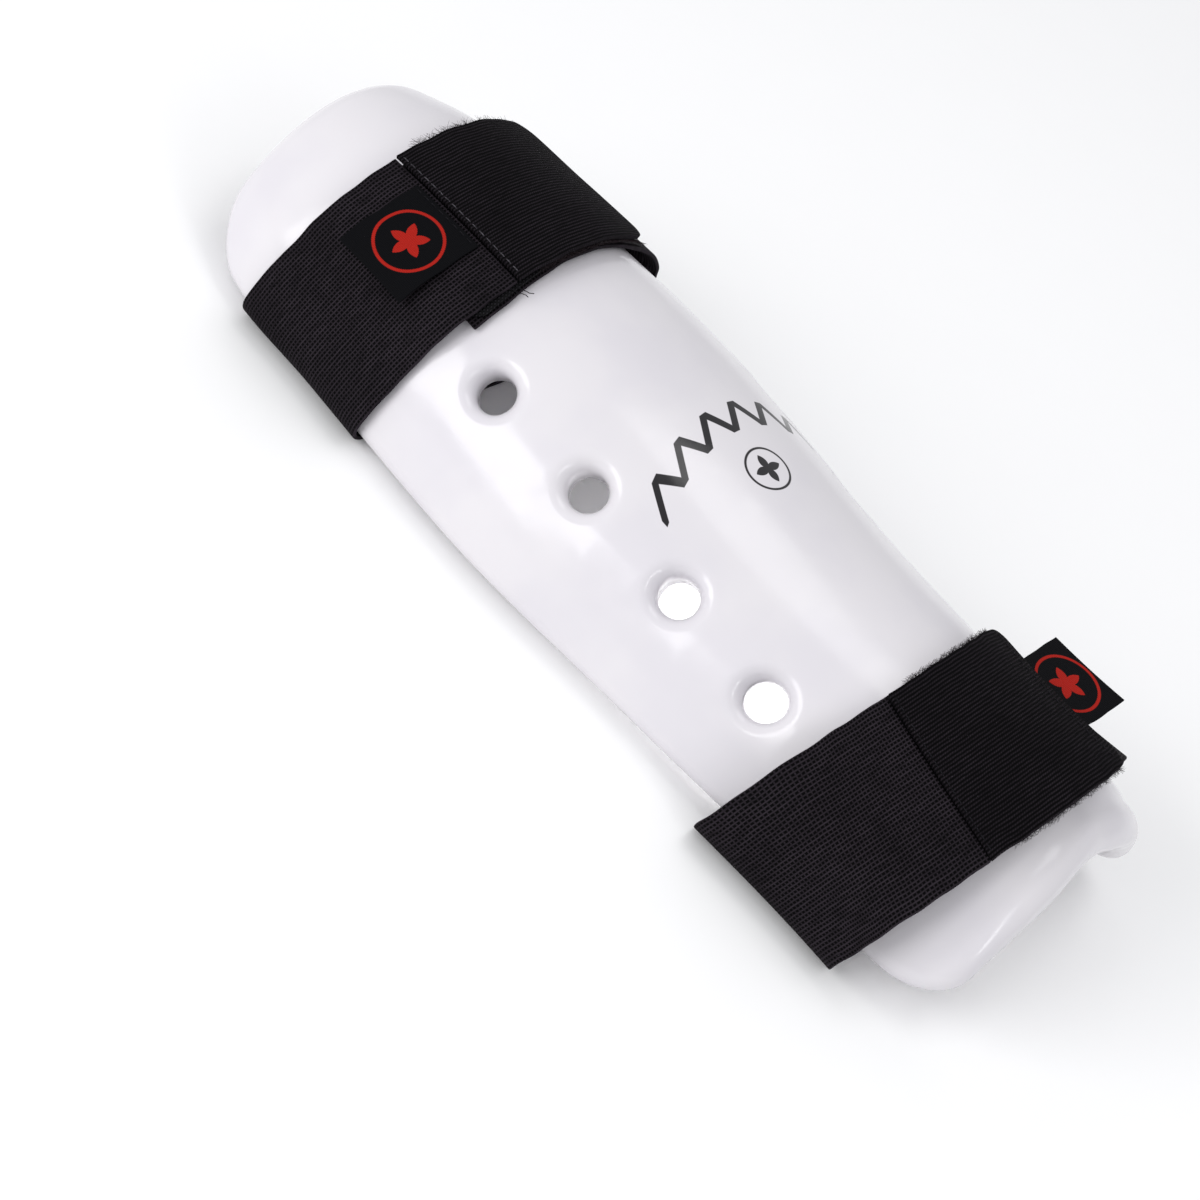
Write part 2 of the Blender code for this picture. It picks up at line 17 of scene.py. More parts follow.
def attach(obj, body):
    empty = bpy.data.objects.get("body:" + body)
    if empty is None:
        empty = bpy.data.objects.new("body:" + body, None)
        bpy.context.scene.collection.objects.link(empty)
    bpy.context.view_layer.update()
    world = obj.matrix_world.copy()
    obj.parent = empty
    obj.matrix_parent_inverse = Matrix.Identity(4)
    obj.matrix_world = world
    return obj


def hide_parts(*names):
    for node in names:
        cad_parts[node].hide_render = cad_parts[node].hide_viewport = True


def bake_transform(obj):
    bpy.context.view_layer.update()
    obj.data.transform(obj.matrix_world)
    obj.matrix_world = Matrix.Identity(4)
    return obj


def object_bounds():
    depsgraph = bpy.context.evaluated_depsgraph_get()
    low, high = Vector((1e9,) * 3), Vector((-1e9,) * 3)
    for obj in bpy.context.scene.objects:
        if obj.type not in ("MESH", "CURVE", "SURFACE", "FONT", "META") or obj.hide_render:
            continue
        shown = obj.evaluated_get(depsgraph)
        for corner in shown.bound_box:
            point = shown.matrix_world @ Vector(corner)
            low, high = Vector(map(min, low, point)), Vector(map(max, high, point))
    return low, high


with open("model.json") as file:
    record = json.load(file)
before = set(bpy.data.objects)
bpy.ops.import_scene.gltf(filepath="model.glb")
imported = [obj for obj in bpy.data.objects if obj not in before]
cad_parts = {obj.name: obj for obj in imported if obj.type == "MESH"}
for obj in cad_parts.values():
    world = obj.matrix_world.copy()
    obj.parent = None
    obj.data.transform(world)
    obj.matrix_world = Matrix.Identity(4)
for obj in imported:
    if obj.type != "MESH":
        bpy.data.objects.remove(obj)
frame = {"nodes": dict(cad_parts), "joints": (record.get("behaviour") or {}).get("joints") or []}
CAD_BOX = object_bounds()
MM = 0.001

# ---- dimensions shared with the CAD

LENGTH = 296.0 * MM
WALL = 11.5 * MM
GAP = 0.3 * MM
SHELL_FLOOR = 2.0 * MM
ELBOW_BOW = 3.0 * MM
ELBOW_CORNER = 19.0 * MM
WRIST_CORNER = 17.5 * MM
NOTCH_DEPTH = 2.6 * MM
NOTCH_WIDTH = 22.0 * MM
# place along the length, half width, crest height over the edges, slope at the edges, their rise
SECTIONS = (
    (0.00, 42.0 * MM, 43.5 * MM, 90.0, 0.0),
    (0.08, 52.0 * MM, 50.5 * MM, 90.0, 0.0),
    (0.20, 55.0 * MM, 53.5 * MM, 90.0, 0.0),
    (0.42, 59.5 * MM, 53.5 * MM, 90.0, 0.0),
    (0.65, 55.0 * MM, 48.0 * MM, 90.0, 0.0),
    (0.80, 53.5 * MM, 46.5 * MM, 85.0, 1.5 * MM),
    (0.90, 55.0 * MM, 44.5 * MM, 80.0, 3.5 * MM),
    (1.00, 55.0 * MM, 35.5 * MM, 65.0, 7.5 * MM),
)
# Half hoops that the straps are drawn on, the shell's own up to the wrist: place, half width, height
HOOPS = tuple(row[:3] for row in SECTIONS[:5]) + (
    (0.88, 52.0 * MM, 48.5 * MM),
    (1.00, 54.0 * MM, 54.0 * MM),
)
# Vents: place along X and angle round the shell, the same on both sides
VENTS = ((-46.0 * MM, 48.0), (-9.5 * MM, 47.0), (27.0 * MM, 48.5), (62.0 * MM, 52.5))

STRAP_WIDTH = 50.0 * MM
ELASTIC = 1.2 * MM
TAPE = 0.9 * MM
TIP_RADIUS = 6.0 * MM
EDGE_ANGLE = 83.0
SLANT_FADE = 23.0
RISE_ANGLE = 14.0
# Angle where the under layer begins to drift along the shell, and the angle it drifts over
SHIFT_START = -2.0
SHIFT_RUN = 38.0
LABEL = 0.5 * MM
LABEL_WIDTH = 25.0 * MM
UNDER_LIFT = ELASTIC / 2
UNDER_TAPE_LIFT = ELASTIC + GAP + TAPE / 2
UPPER_TAPE_LIFT = UNDER_TAPE_LIFT + TAPE + GAP
FLAP_LIFT = UPPER_TAPE_LIFT + TAPE / 2 + GAP + ELASTIC / 2
BAND_TOP_LIFT = UPPER_TAPE_LIFT - TAPE / 2 + ELASTIC / 2
# Angles from a layer's end to its tape's end, and from the seam to the flap's root
TAPE_INSET = 1.0
SEAM_INSET = 0.15

# Columns of the standoff rows: under layer and near band
UNDER_SIDE = 1
BAND_SIDE = 2


# Where one strap runs: its middle, its lean in height, and how far it stands off the shell. Its
# label turns through the sweep and rises off the strap, and the shifts are along the shell.
Strap = namedtuple("Strap", """name middle lean slant standoff under_tip under_tape_end root flap_tip
    flap_side band_rise label_sweep label_rise label_shift under_shift""")

# standoff rows: angle round the shell, gap to the under layer, gap to the near band
ELBOW = Strap(
    name="elbow",
    middle=-92.5 * MM,
    lean=math.tan(math.radians(3.6)),
    slant=0.0,
    standoff=(
        (-90.0, 2.2 * MM, 2.2 * MM),
        (-60.0, 1.3 * MM, 1.5 * MM),
        (-44.0, 1.3 * MM, 1.3 * MM),
        (0.0, 1.3 * MM, 1.3 * MM),
        (35.0, 1.8 * MM, 1.8 * MM),
        (60.0, 8.0 * MM, 8.0 * MM),
        (90.0, 11.0 * MM, 11.0 * MM),
    ),
    under_tip=-41.5,
    under_tape_end=37.0,
    root=-25.0,
    flap_tip=32.0,
    flap_side=BAND_SIDE,
    band_rise=-46.0,
    label_sweep=-25.0,
    label_rise=2.5 * MM,
    label_shift=-2.0 * MM,
    under_shift=3.0 * MM,
)
WRIST = Strap(
    name="wrist",
    middle=97.0 * MM,
    lean=math.tan(math.radians(12.2)),
    slant=0.2,
    standoff=(
        (-90.0, 7.0 * MM, 13.5 * MM),
        (-60.0, 2.5 * MM, 8.0 * MM),
        (-44.0, 1.6 * MM, 3.0 * MM),
        (0.0, 1.5 * MM, 1.5 * MM),
        (35.0, 2.2 * MM, 2.2 * MM),
        (60.0, 6.0 * MM, 6.0 * MM),
        (90.0, 12.0 * MM, 12.0 * MM),
    ),
    under_tip=-56.0,
    under_tape_end=23.5,
    root=-34.0,
    flap_tip=21.5,
    flap_side=UNDER_SIDE,
    band_rise=-62.0,
    label_sweep=16.0,
    label_rise=11.0 * MM,
    label_shift=-1.0 * MM,
    under_shift=0.0,
)

# ---- the same curves as in the CAD


def table_slope(rows, index, column):
    """Slope of a column at a row: its neighbours' slopes, the nearer one counting for more."""
    slopes = []
    weights = []
    for low, high in ((index - 1, index), (index, index + 1)):
        if low >= 0 and high < len(rows):
            run = rows[high][0] - rows[low][0]
            slopes.append((rows[high][column] - rows[low][column]) / run)
            weights.append(1.0 / run)
    return sum(s * w for s, w in zip(slopes, weights)) / sum(weights)


def table_value(rows, place, column):
    """Value of a column at a place between the rows, on a smooth curve through them."""
    place = min(max(place, rows[0][0]), rows[-1][0])
    index = max(i for i in range(len(rows) - 1) if rows[i][0] <= place)
    low, high = rows[index], rows[index + 1]
    run = high[0] - low[0]
    t = (place - low[0]) / run
    return (
        (2 * t**3 - 3 * t**2 + 1) * low[column]
        + (t**3 - 2 * t**2 + t) * run * table_slope(rows, index, column)
        + (3 * t**2 - 2 * t**3) * high[column]
        + (t**3 - t**2) * run * table_slope(rows, index + 1, column)
    )


def hoop_point(x, angle, lift):
    """Point at an angle from the crest on a half hoop over the shell, lifted off it."""
    place = x / LENGTH + 0.5
    half_width = table_value(HOOPS, place, 1) + lift
    height = table_value(HOOPS, place, 2) + lift
    turn = math.radians(angle)
    return Vector((x, half_width * math.sin(turn), SHELL_FLOOR + height * math.cos(turn)))


def shell_point(x, angle, lift):
    """Point of the shell, 90 degrees being its edge, lifted straight off its outer face."""
    place = x / LENGTH + 0.5
    slope = math.radians(table_value(SECTIONS, place, 3))
    wide = table_value(SECTIONS, place, 1) / math.sin(slope)
    high = table_value(SECTIONS, place, 2) / (1 - math.cos(slope))
    floor = SHELL_FLOOR + table_value(SECTIONS, place, 4)
    turn = slope * angle / 90.0
    face = Vector((x, wide * math.sin(turn), floor + high * (math.cos(turn) - math.cos(slope))))
    return face + lift * Vector((0, high * math.sin(turn), wide * math.cos(turn))).normalized()


def smooth_step(value):
    value = min(max(value, 0.0), 1.0)
    return value * value * (3 - 2 * value)


def strap_point(strap, angle, across, lift, side):
    """Point of a strap over the shell: across from its middle line, lifted off its inner face."""
    slant = strap.slant * smooth_step((EDGE_ANGLE - abs(angle)) / SLANT_FADE)
    turned = angle - math.degrees(slant * across / SECTIONS[0][1])
    lift += table_value(strap.standoff, turned, side)
    x = strap.middle + across
    if side == UNDER_SIDE:
        x += strap.under_shift * smooth_step((SHIFT_START - angle) / SHIFT_RUN)
    drawn = hoop_point(x, turned, lift)
    return hoop_point(x + strap.lean * drawn.z, turned, lift)


def band_lift(strap, angle):
    """Lift of the near band: against the shell low down, over the under layer higher up."""
    rise = smooth_step((angle - strap.band_rise) / RISE_ANGLE + 1.0)
    return UNDER_LIFT + (BAND_TOP_LIFT - UNDER_LIFT) * rise


def corner_point(strap, turn, sign, across, side):
    """Point of the lower corner, from the flank (turn 0) down to the flat run (turn 90)."""
    flank = strap_point(strap, sign * EDGE_ANGLE, across, UNDER_LIFT, side)
    radius = flank.z - ELASTIC / 2
    turned = math.radians(turn)
    y = flank.y - sign * radius * (1 - math.cos(turned))
    z = flank.z - radius * math.sin(turned)
    return Vector((strap.middle + across + strap.lean * z, y, z))


# ---- material graphs


class Graph:
    """Short way to write a material's nodes. Inputs are numbers, colours or sockets."""

    def __init__(self, name, roughness, specular=0.5):
        self.material = bpy.data.materials.new(name)
        self.material.use_nodes = True
        self.tree = self.material.node_tree
        self.shader = self.tree.nodes["Principled BSDF"]
        self.shader.inputs["Roughness"].default_value = roughness
        self.shader.inputs["Specular IOR Level"].default_value = specular

    def put(self, socket, value):
        if isinstance(value, bpy.types.NodeSocket):
            self.tree.links.new(value, socket)
        elif socket.type == "RGBA" and len(value) == 3:
            socket.default_value = (*value, 1.0)
        else:
            socket.default_value = value

    def node(self, kind, inputs, **settings):
        made = self.tree.nodes.new(kind)
        for key, value in settings.items():
            setattr(made, key, value)
        for key, value in inputs.items():
            self.put(made.inputs[key], value)
        return made

    def math(self, operation, *values, clamp=False):
        made = self.tree.nodes.new("ShaderNodeMath")
        made.operation = operation
        made.use_clamp = clamp
        for socket, value in zip(made.inputs, values):
            self.put(socket, value)
        return made.outputs[0]

    def pattern(self):
        """The piece's own pattern coordinates: along, across and a share from 0 to 1."""
        read = self.node("ShaderNodeAttribute", {}, attribute_name="pattern")
        parts = self.node("ShaderNodeSeparateXYZ", {"Vector": read.outputs["Vector"]})
        return parts.outputs

    def object_place(self):
        return self.node("ShaderNodeTexCoord", {}).outputs["Object"]

    def noise(self, vector, scale, detail=2.0, roughness=0.5):
        inputs = {"Vector": vector, "Scale": scale, "Detail": detail, "Roughness": roughness}
        return self.node("ShaderNodeTexNoise", inputs).outputs["Fac"]

    def ramp(self, value, low, high, to_low=0.0, to_high=1.0, smooth=True):
        kind = "SMOOTHSTEP" if smooth else "LINEAR"
        inputs = {"Value": value, "From Min": low, "From Max": high}
        inputs.update({"To Min": to_low, "To Max": to_high})
        return self.node("ShaderNodeMapRange", inputs, interpolation_type=kind).outputs["Result"]

    def mix(self, share, first, second):
        made = self.tree.nodes.new("ShaderNodeMix")
        made.data_type = "RGBA"
        self.put(made.inputs["Factor"], share)
        colours = [socket for socket in made.inputs if socket.type == "RGBA"]
        self.put(colours[0], first)
        self.put(colours[1], second)
        return [socket for socket in made.outputs if socket.type == "RGBA"][0]

    def below(self, value, limit, soft):
        """1 where the value is under the limit and 0 over it, with a soft edge."""
        return self.ramp(value, limit + soft, limit - soft)

    def product(self, first, *others):
        for other in others:
            first = self.math("MULTIPLY", first, other)
        return first

    def badge(self, x, y, ring, line, points, tip, dent, soft):
        """Mask of a ring of this radius round a shape with so many points."""
        squared = self.math("MULTIPLY", x, x)
        radius = self.math("SQRT", self.math("MULTIPLY_ADD", y, y, squared))
        off_line = self.math("ABSOLUTE", self.math("SUBTRACT", radius, ring))
        turn = self.math("ADD", self.math("ARCTAN2", y, x), math.tau)
        fold = self.math("PINGPONG", turn, math.pi / points)
        reach = self.ramp(fold, 0.0, math.pi / points, tip, dent, smooth=False)
        shape = self.below(self.math("SUBTRACT", radius, reach), 0.0, soft)
        return self.math("MAXIMUM", self.below(off_line, line, soft), shape, clamp=True)

    def wave(self, value, pitch, phase=0.0):
        """Smooth ridges from 0 to 1 with a pitch in metres."""
        turned = self.math("MULTIPLY_ADD", value, math.tau / pitch, phase)
        return self.math("MULTIPLY_ADD", self.math("COSINE", turned), 0.5, 0.5)

    def vector(self, x, y, z=0.0):
        return self.node("ShaderNodeCombineXYZ", {"X": x, "Y": y, "Z": z}).outputs["Vector"]

    def finish(self, colour, height=None, distance=0.2 * MM, strength=1.0, roughness=None):
        self.put(self.shader.inputs["Base Color"], colour)
        if roughness is not None:
            self.put(self.shader.inputs["Roughness"], roughness)
        if height is not None:
            inputs = {"Height": height, "Distance": distance, "Strength": strength}
            bump = self.node("ShaderNodeBump", inputs)
            self.put(self.shader.inputs["Normal"], bump.outputs["Normal"])
        return self.material


# ---- materials

VINYL_COLOUR = (0.70, 0.680, 0.705)
VINYL_SHADE = (0.665, 0.645, 0.680)
PRINT_COLOUR = (0.006, 0.005, 0.007)
THREAD_COLOUR = (0.025, 0.020, 0.0255)
# painted shade: near black in the knit's holes and between its threads
HOLE_SHADE_COLOUR = (0.0004, 0.0003, 0.0005)
LINT_COLOUR = (0.16, 0.15, 0.17)
FOAM_COLOURS = ((0.72, 0.70, 0.64), (0.80, 0.79, 0.74))
LOOP_COLOURS = ((0.001, 0.001, 0.0015), (0.016, 0.014, 0.018))
HOOK_COLOURS = ((0.0015, 0.0015, 0.002), (0.016, 0.015, 0.018))
FUZZ_COLOURS = ((0.006, 0.004, 0.005), (0.040, 0.028, 0.032))
DARK_THREAD_COLOURS = ((0.003, 0.003, 0.004), (0.012, 0.011, 0.014))
GREY_THREAD_COLOURS = ((0.012, 0.011, 0.014), (0.085, 0.08, 0.09))
FLOOR_COLOURS = ((0.965, 0.965, 0.965), (0.975, 0.975, 0.975))
RIB_PITCH = 1.0 * MM
MESH_PITCH = 1.08 * MM
MESH_ROW = 1.10 * MM
PURL_PITCH = 0.8 * MM
HOOK_PITCH = 1.3 * MM

# Print on the crest: a row of slanted chevrons along an arch, with a ring on its wrist side
ARCH_MIDDLE = 2.0 * MM
ARCH_RISE = 11.0 * MM
ARCH_REACH = 33.0 * MM
ARCH_HEIGHT = 9.0 * MM
CHEVRON_PITCH = 11.0 * MM
CHEVRON_SHIFT = 45.5 * CHEVRON_PITCH
CHEVRON_SLANT = 0.62
STROKE = 1.25 * MM
RING_X = 14.0 * MM
RING_OUTER = 6.6 * MM
RING_LINE = 0.35 * MM
RING_SHAPE_TIP = 4.6 * MM
RING_SHAPE_DENT = 1.5 * MM
PRINT_EDGE = 0.1 * MM


def vinyl_material():
    """Glossy dipped vinyl: faint mottling, a softly rippled skin, and the print on the crest."""
    graph = Graph("dipped_vinyl", roughness=0.15)
    along, across, _ = graph.pattern()
    place = graph.object_place()
    mottle = graph.noise(place, scale=28.0, detail=3.0)
    skin = graph.mix(graph.ramp(mottle, 0.35, 0.65), VINYL_COLOUR, VINYL_SHADE)

    # how far along X this place lies from the arch's middle line
    sideways = graph.math("DIVIDE", across, ARCH_REACH)
    bend = graph.product(sideways, sideways, ARCH_RISE)
    from_arch = graph.math("SUBTRACT", along, graph.math("ADD", bend, ARCH_MIDDLE - ARCH_RISE / 2))
    inside = graph.below(graph.math("ABSOLUTE", from_arch), ARCH_HEIGHT / 2, PRINT_EDGE)
    ends = graph.below(graph.math("ABSOLUTE", across), ARCH_REACH, PRINT_EDGE)
    # each stroke runs up and down again between the arch's two edges
    climb = graph.math("MULTIPLY", graph.math("ADD", from_arch, ARCH_HEIGHT / 2), CHEVRON_SLANT)
    folded = graph.math("PINGPONG", graph.math("ADD", across, CHEVRON_SHIFT), CHEVRON_PITCH / 2)
    off_stroke = graph.math("ABSOLUTE", graph.math("SUBTRACT", folded, climb))
    arch = graph.product(inside, ends, graph.below(off_stroke, STROKE, PRINT_EDGE))

    ring_x = graph.math("SUBTRACT", along, RING_X)
    ring = graph.badge(ring_x, across, RING_OUTER, RING_LINE, 4, RING_SHAPE_TIP, RING_SHAPE_DENT,
                       PRINT_EDGE)
    colour = graph.mix(graph.math("MAXIMUM", arch, ring, clamp=True), skin, PRINT_COLOUR)

    dimples = graph.math("MULTIPLY", graph.noise(place, scale=520.0), 0.25)
    height = graph.math("MULTIPLY_ADD", graph.noise(place, scale=75.0), 6.0, dimples)
    roughness = graph.ramp(graph.noise(place, scale=160.0, detail=4.0), 0.3, 0.7, 0.14, 0.22)
    return graph.finish(colour, height, distance=0.012 * MM, roughness=roughness)


def foam_material():
    """Cross-linked foam: closed cells under a slightly yellowed skin."""
    graph = Graph("closed_cell_foam", roughness=0.9, specular=0.2)
    cells = graph.node("ShaderNodeTexVoronoi", {"Vector": graph.object_place(), "Scale": 900.0})
    shade = graph.ramp(cells.outputs["Distance"], 0.0, 0.8)
    return graph.finish(graph.mix(shade, *FOAM_COLOURS), shade, distance=0.3 * MM, strength=0.6)


def elastic_material():
    """Knitted elastic: an open net of threads where it is stretched, close ribs where sewn."""
    graph = Graph("knitted_elastic", roughness=0.85, specular=0.06)
    along, across, stretched = graph.pattern()
    wobble = graph.math("SUBTRACT", graph.noise(graph.vector(along, across), scale=420.0), 0.5)
    across_bent = graph.math("MULTIPLY_ADD", wobble, 0.35 * MM, across)
    along_bent = graph.math("MULTIPLY_ADD", wobble, 0.30 * MM, along)

    cord = graph.ramp(graph.wave(across_bent, MESH_PITCH), 0.30, 0.86)
    rung = graph.ramp(graph.wave(along_bent, MESH_ROW), 0.45, 0.95, 0.0, 0.75)
    net = graph.math("MAXIMUM", cord, rung)

    rib = graph.ramp(graph.wave(across_bent, RIB_PITCH), 0.12, 0.95)
    leaning = graph.math("MULTIPLY_ADD", across_bent, 0.6, along_bent)
    purl = graph.ramp(graph.wave(leaning, PURL_PITCH), 0.0, 1.0, 0.38, 0.92)
    ribs = graph.math("MULTIPLY", rib, purl)

    share = graph.ramp(stretched, 0.35, 0.65)
    loose = graph.math("MULTIPLY", net, share)
    close = graph.math("MULTIPLY", ribs, graph.math("SUBTRACT", 1.0, share))
    height = graph.math("ADD", loose, close)

    # strands drawn out along the strap, patches of wear, and specks of lint, over painted shade from
    # the knit's height
    drawn_out = graph.vector(graph.math("MULTIPLY", along, 0.12), across)
    strands = graph.noise(drawn_out, scale=1500.0, detail=3.0)
    worn = graph.noise(graph.object_place(), scale=45.0, detail=3.0)
    painted_shade_and_wear = graph.product(
        height,
        graph.ramp(strands, 0.3, 0.72, 0.45, 1.25, smooth=False),
        graph.ramp(worn, 0.3, 0.7, 0.78, 1.12),
    )
    # painted shade, near black, in the holes and between the threads, lighter at the crests as painted
    # highlight
    knitted = graph.mix(painted_shade_and_wear, HOLE_SHADE_COLOUR, THREAD_COLOUR)
    specks = graph.ramp(graph.noise(graph.object_place(), scale=1900.0, detail=1.0), 0.80, 0.86)
    colour = graph.mix(graph.math("MULTIPLY", specks, 0.5), knitted, LINT_COLOUR)
    return graph.finish(colour, height, distance=0.45 * MM, strength=0.9)


def loop_material():
    """Brushed loop pile: matted tufts that swallow the light."""
    graph = Graph("loop_pile", roughness=0.95, specular=0.03)
    along, across, _ = graph.pattern()
    place = graph.vector(along, across)
    tufts = graph.noise(place, scale=1600.0, detail=5.0, roughness=0.7)
    clumps = graph.noise(place, scale=260.0, detail=3.0)
    height = graph.math("MULTIPLY_ADD", clumps, 0.8, tufts)
    colour = graph.mix(graph.ramp(height, 0.55, 1.1), *LOOP_COLOURS)
    graph.shader.inputs["Sheen Weight"].default_value = 0.04
    graph.shader.inputs["Sheen Roughness"].default_value = 0.6
    return graph.finish(colour, height, distance=0.8 * MM)


def hook_material():
    """Moulded hooks in staggered rows on a woven ground."""
    graph = Graph("hook_tape", roughness=0.5, specular=0.10)
    along, across, _ = graph.pattern()
    rows = [
        graph.product(graph.wave(along, HOOK_PITCH, phase), graph.wave(across, HOOK_PITCH, phase))
        for phase in (0.0, math.pi)
    ]
    hooks = graph.ramp(graph.math("MAXIMUM", *rows), 0.35, 0.85)
    return graph.finish(graph.mix(hooks, *HOOK_COLOURS), hooks, distance=0.7 * MM)


LABEL_GROUND = ((0.0012, 0.0012, 0.0018), (0.0036, 0.0036, 0.0048))
LABEL_RED = ((0.28, 0.012, 0.008), (0.42, 0.016, 0.010))
LABEL_RING = 9.3 * MM
LABEL_RING_LINE = 0.45 * MM
LABEL_SHAPE_TIP = 5.6 * MM
LABEL_SHAPE_DENT = LABEL_SHAPE_TIP * 0.42
LABEL_EDGE = 0.1 * MM
WEFT_PITCH = 0.42 * MM
WARP_PITCH = 0.55 * MM
WEFT_JAG = 0.16 * MM


def label_material():
    """Woven satin label: a red ring round a plain five-pointed shape, in fine cross threads."""
    graph = Graph("woven_label", roughness=0.6, specular=0.05)
    along, across, _ = graph.pattern()
    weft = graph.wave(across, WEFT_PITCH)
    ragged = graph.math("MULTIPLY_ADD", graph.math("SUBTRACT", weft, 0.5), WEFT_JAG, along)
    red = graph.badge(ragged, across, LABEL_RING, LABEL_RING_LINE, 5, LABEL_SHAPE_TIP,
                      LABEL_SHAPE_DENT, LABEL_EDGE)
    warp = graph.wave(along, WARP_PITCH)
    weave = graph.math("MULTIPLY_ADD", weft, 0.7, graph.math("MULTIPLY", warp, 0.3))
    colour = graph.mix(red, graph.mix(weave, *LABEL_GROUND), graph.mix(weave, *LABEL_RED))
    height = graph.math("MULTIPLY_ADD", red, 0.8, weave)
    return graph.finish(colour, height, distance=0.12 * MM, strength=0.8)


def thread_material(name, dark, light):
    """Twisted sewing thread."""
    graph = Graph(name, roughness=0.7, specular=0.08)
    strands = graph.noise(graph.object_place(), scale=2600.0)
    colour = graph.mix(graph.ramp(strands, 0.3, 0.7), dark, light)
    return graph.finish(colour, strands, distance=0.1 * MM, strength=0.6)


def floor_material():
    graph = Graph("pale_floor", roughness=0.9, specular=0.1)
    grain = graph.noise(graph.object_place(), scale=40.0)
    return graph.finish(graph.mix(grain, *FLOOR_COLOURS), grain, distance=0.02 * MM, strength=0.2)


# ---- mesh helpers


def link(piece):
    bpy.context.scene.collection.objects.link(piece)
    return piece


def mesh_object(name, points, faces, pattern, material):
    """Smooth-shaded mesh with its pattern coordinates kept on the points."""
    mesh = bpy.data.meshes.new(name)
    mesh.from_pydata([tuple(point) for point in points], [], faces)
    mesh.update()
    kept = mesh.attributes.new("pattern", "FLOAT_VECTOR", "POINT")
    kept.data.foreach_set("vector", [value for row in pattern for value in row])
    mesh.materials.append(material)
    mesh.shade_smooth()
    return link(bpy.data.objects.new(name, mesh))


def apply_modifiers(piece):
    """Keeps the piece's shape as its modifiers leave it."""
    bpy.context.view_layer.update()
    shaped = piece.evaluated_get(bpy.context.evaluated_depsgraph_get())
    mesh = bpy.data.meshes.new_from_object(shaped)
    old = piece.data
    piece.modifiers.clear()
    piece.data = mesh
    bpy.data.meshes.remove(old)


def settle(piece, body, slot, *nodes):
    """Puts a piece on its body, in place of CAD nodes. The slot is not used."""
    if body:
        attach(piece, body)
    if nodes:
        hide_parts(*nodes)


# ---- shell

RIM = WALL / 2
UNROLLED = 50.0 * MM
CELLS_LONG = 146
CELLS_MIDDLE = 56
CELLS_CORNER = 9
CELLS_ACROSS = CELLS_MIDDLE + 2 * CELLS_CORNER
RIM_RINGS = 14
VENT_HALF_BLOCK = 6
VENT_BORE = 5.5 * MM
VENT_MOUTH = 10.2 * MM
VENT_FILLET_DEPTH = 4.6 * MM
VENT_BACK_FILLET = 2.4 * MM
VENT_FILLET_RINGS = 9
VENT_BACK_RINGS = 4
SHOULDER = 0.9 * MM
SHOULDER_ANGLE = 51.0
SHOULDER_SPREAD = 12.0
SHOULDER_START = -66.0 * MM
SHOULDER_END = 86.0 * MM
SHOULDER_FADE = 14.0 * MM
END_ROLL = 1.3 * MM
END_ROLL_REACH = 11.0 * MM
END_ROLL_POWER = 1.5
PINCH = 0.9 * MM
PINCH_REACH = 5.0 * MM
CREASE = 0.55 * MM
CREASE_INSET = 9.5 * MM
CREASE_SPREAD = 2.0 * MM
DIP_WAVES = 0.30 * MM
DIP_WAVE_SCALE = 26.0
END_STEP = 1e-4


def end_outline(end, q):
    """Unrolled place (x, s) on an end's outline, q from the near edge (0) to the far edge (1)."""
    half_width, corner = (SECTIONS[0][1], ELBOW_CORNER) if end < 0 else (SECTIONS[-1][1], WRIST_CORNER)
    corner_share = CELLS_CORNER / CELLS_ACROSS
    side = -1 if q < 0.5 else 1
    from_edge = min(q, 1 - q)
    full_arc = math.pi / 2 * half_width
    if from_edge < corner_share:
        turn = math.pi / 2 * from_edge / corner_share
        arc = corner * (1 - math.cos(turn))
        trim = corner * (1 - math.sin(turn))
    else:
        arc = corner + (full_arc - corner) * (from_edge - corner_share) / (0.5 - corner_share)
        trim = 0.0
    turn = side * (math.pi / 2 - arc / half_width)
    if end < 0:
        x = -LENGTH / 2 + ELBOW_BOW * math.sin(turn) ** 2 + trim
    else:
        notch = NOTCH_DEPTH * math.exp(-((turn * half_width / NOTCH_WIDTH) ** 2))
        x = LENGTH / 2 - notch - trim
    return x, turn * UNROLLED


def end_place(end, q, inset):
    """Place on an end's outline, moved inwards by the inset."""
    before = end_outline(end, max(q - END_STEP, 0.0))
    after = end_outline(end, min(q + END_STEP, 1.0))
    run = (after[0] - before[0], after[1] - before[1])
    size = math.hypot(*run)
    x, s = end_outline(end, q)
    return x + end * -run[1] / size * inset, s + end * run[0] / size * inset


def grid_place(i, j, inset):
    """Unrolled place of a grid point of the shell, i along it and j round it."""
    q = j / CELLS_ACROSS
    start = end_place(-1, q, inset)
    finish = end_place(1, q, inset)
    t = i / CELLS_LONG
    return start[0] + (finish[0] - start[0]) * t, start[1] + (finish[1] - start[1]) * t


def skin_lift(x, s):
    """How far the outer skin swells or dips: shoulders, rolled wrist end, pinch, dipping waves."""
    angle = math.degrees(s / UNROLLED)
    between = smooth_step((x - SHOULDER_START) / SHOULDER_FADE)
    between *= smooth_step((SHOULDER_END - x) / SHOULDER_FADE)
    lift = SHOULDER * between * math.exp(-(((abs(angle) - SHOULDER_ANGLE) / SHOULDER_SPREAD) ** 2))
    arc = s / UNROLLED * SECTIONS[-1][1]
    notch = NOTCH_DEPTH * math.exp(-((arc / NOTCH_WIDTH) ** 2))
    from_end = max(LENGTH / 2 - notch - x, 0.0)
    lift -= END_ROLL * max(0.0, 1 - from_end / END_ROLL_REACH) ** END_ROLL_POWER
    lift -= CREASE * math.exp(-(((from_end - CREASE_INSET) / CREASE_SPREAD) ** 2))
    lift += PINCH * math.exp(-((arc / PINCH_REACH) ** 2) - (from_end / PINCH_REACH - 1) ** 2)
    lift += DIP_WAVES * noise.noise(Vector((x, s, 0)) * DIP_WAVE_SCALE)
    return lift


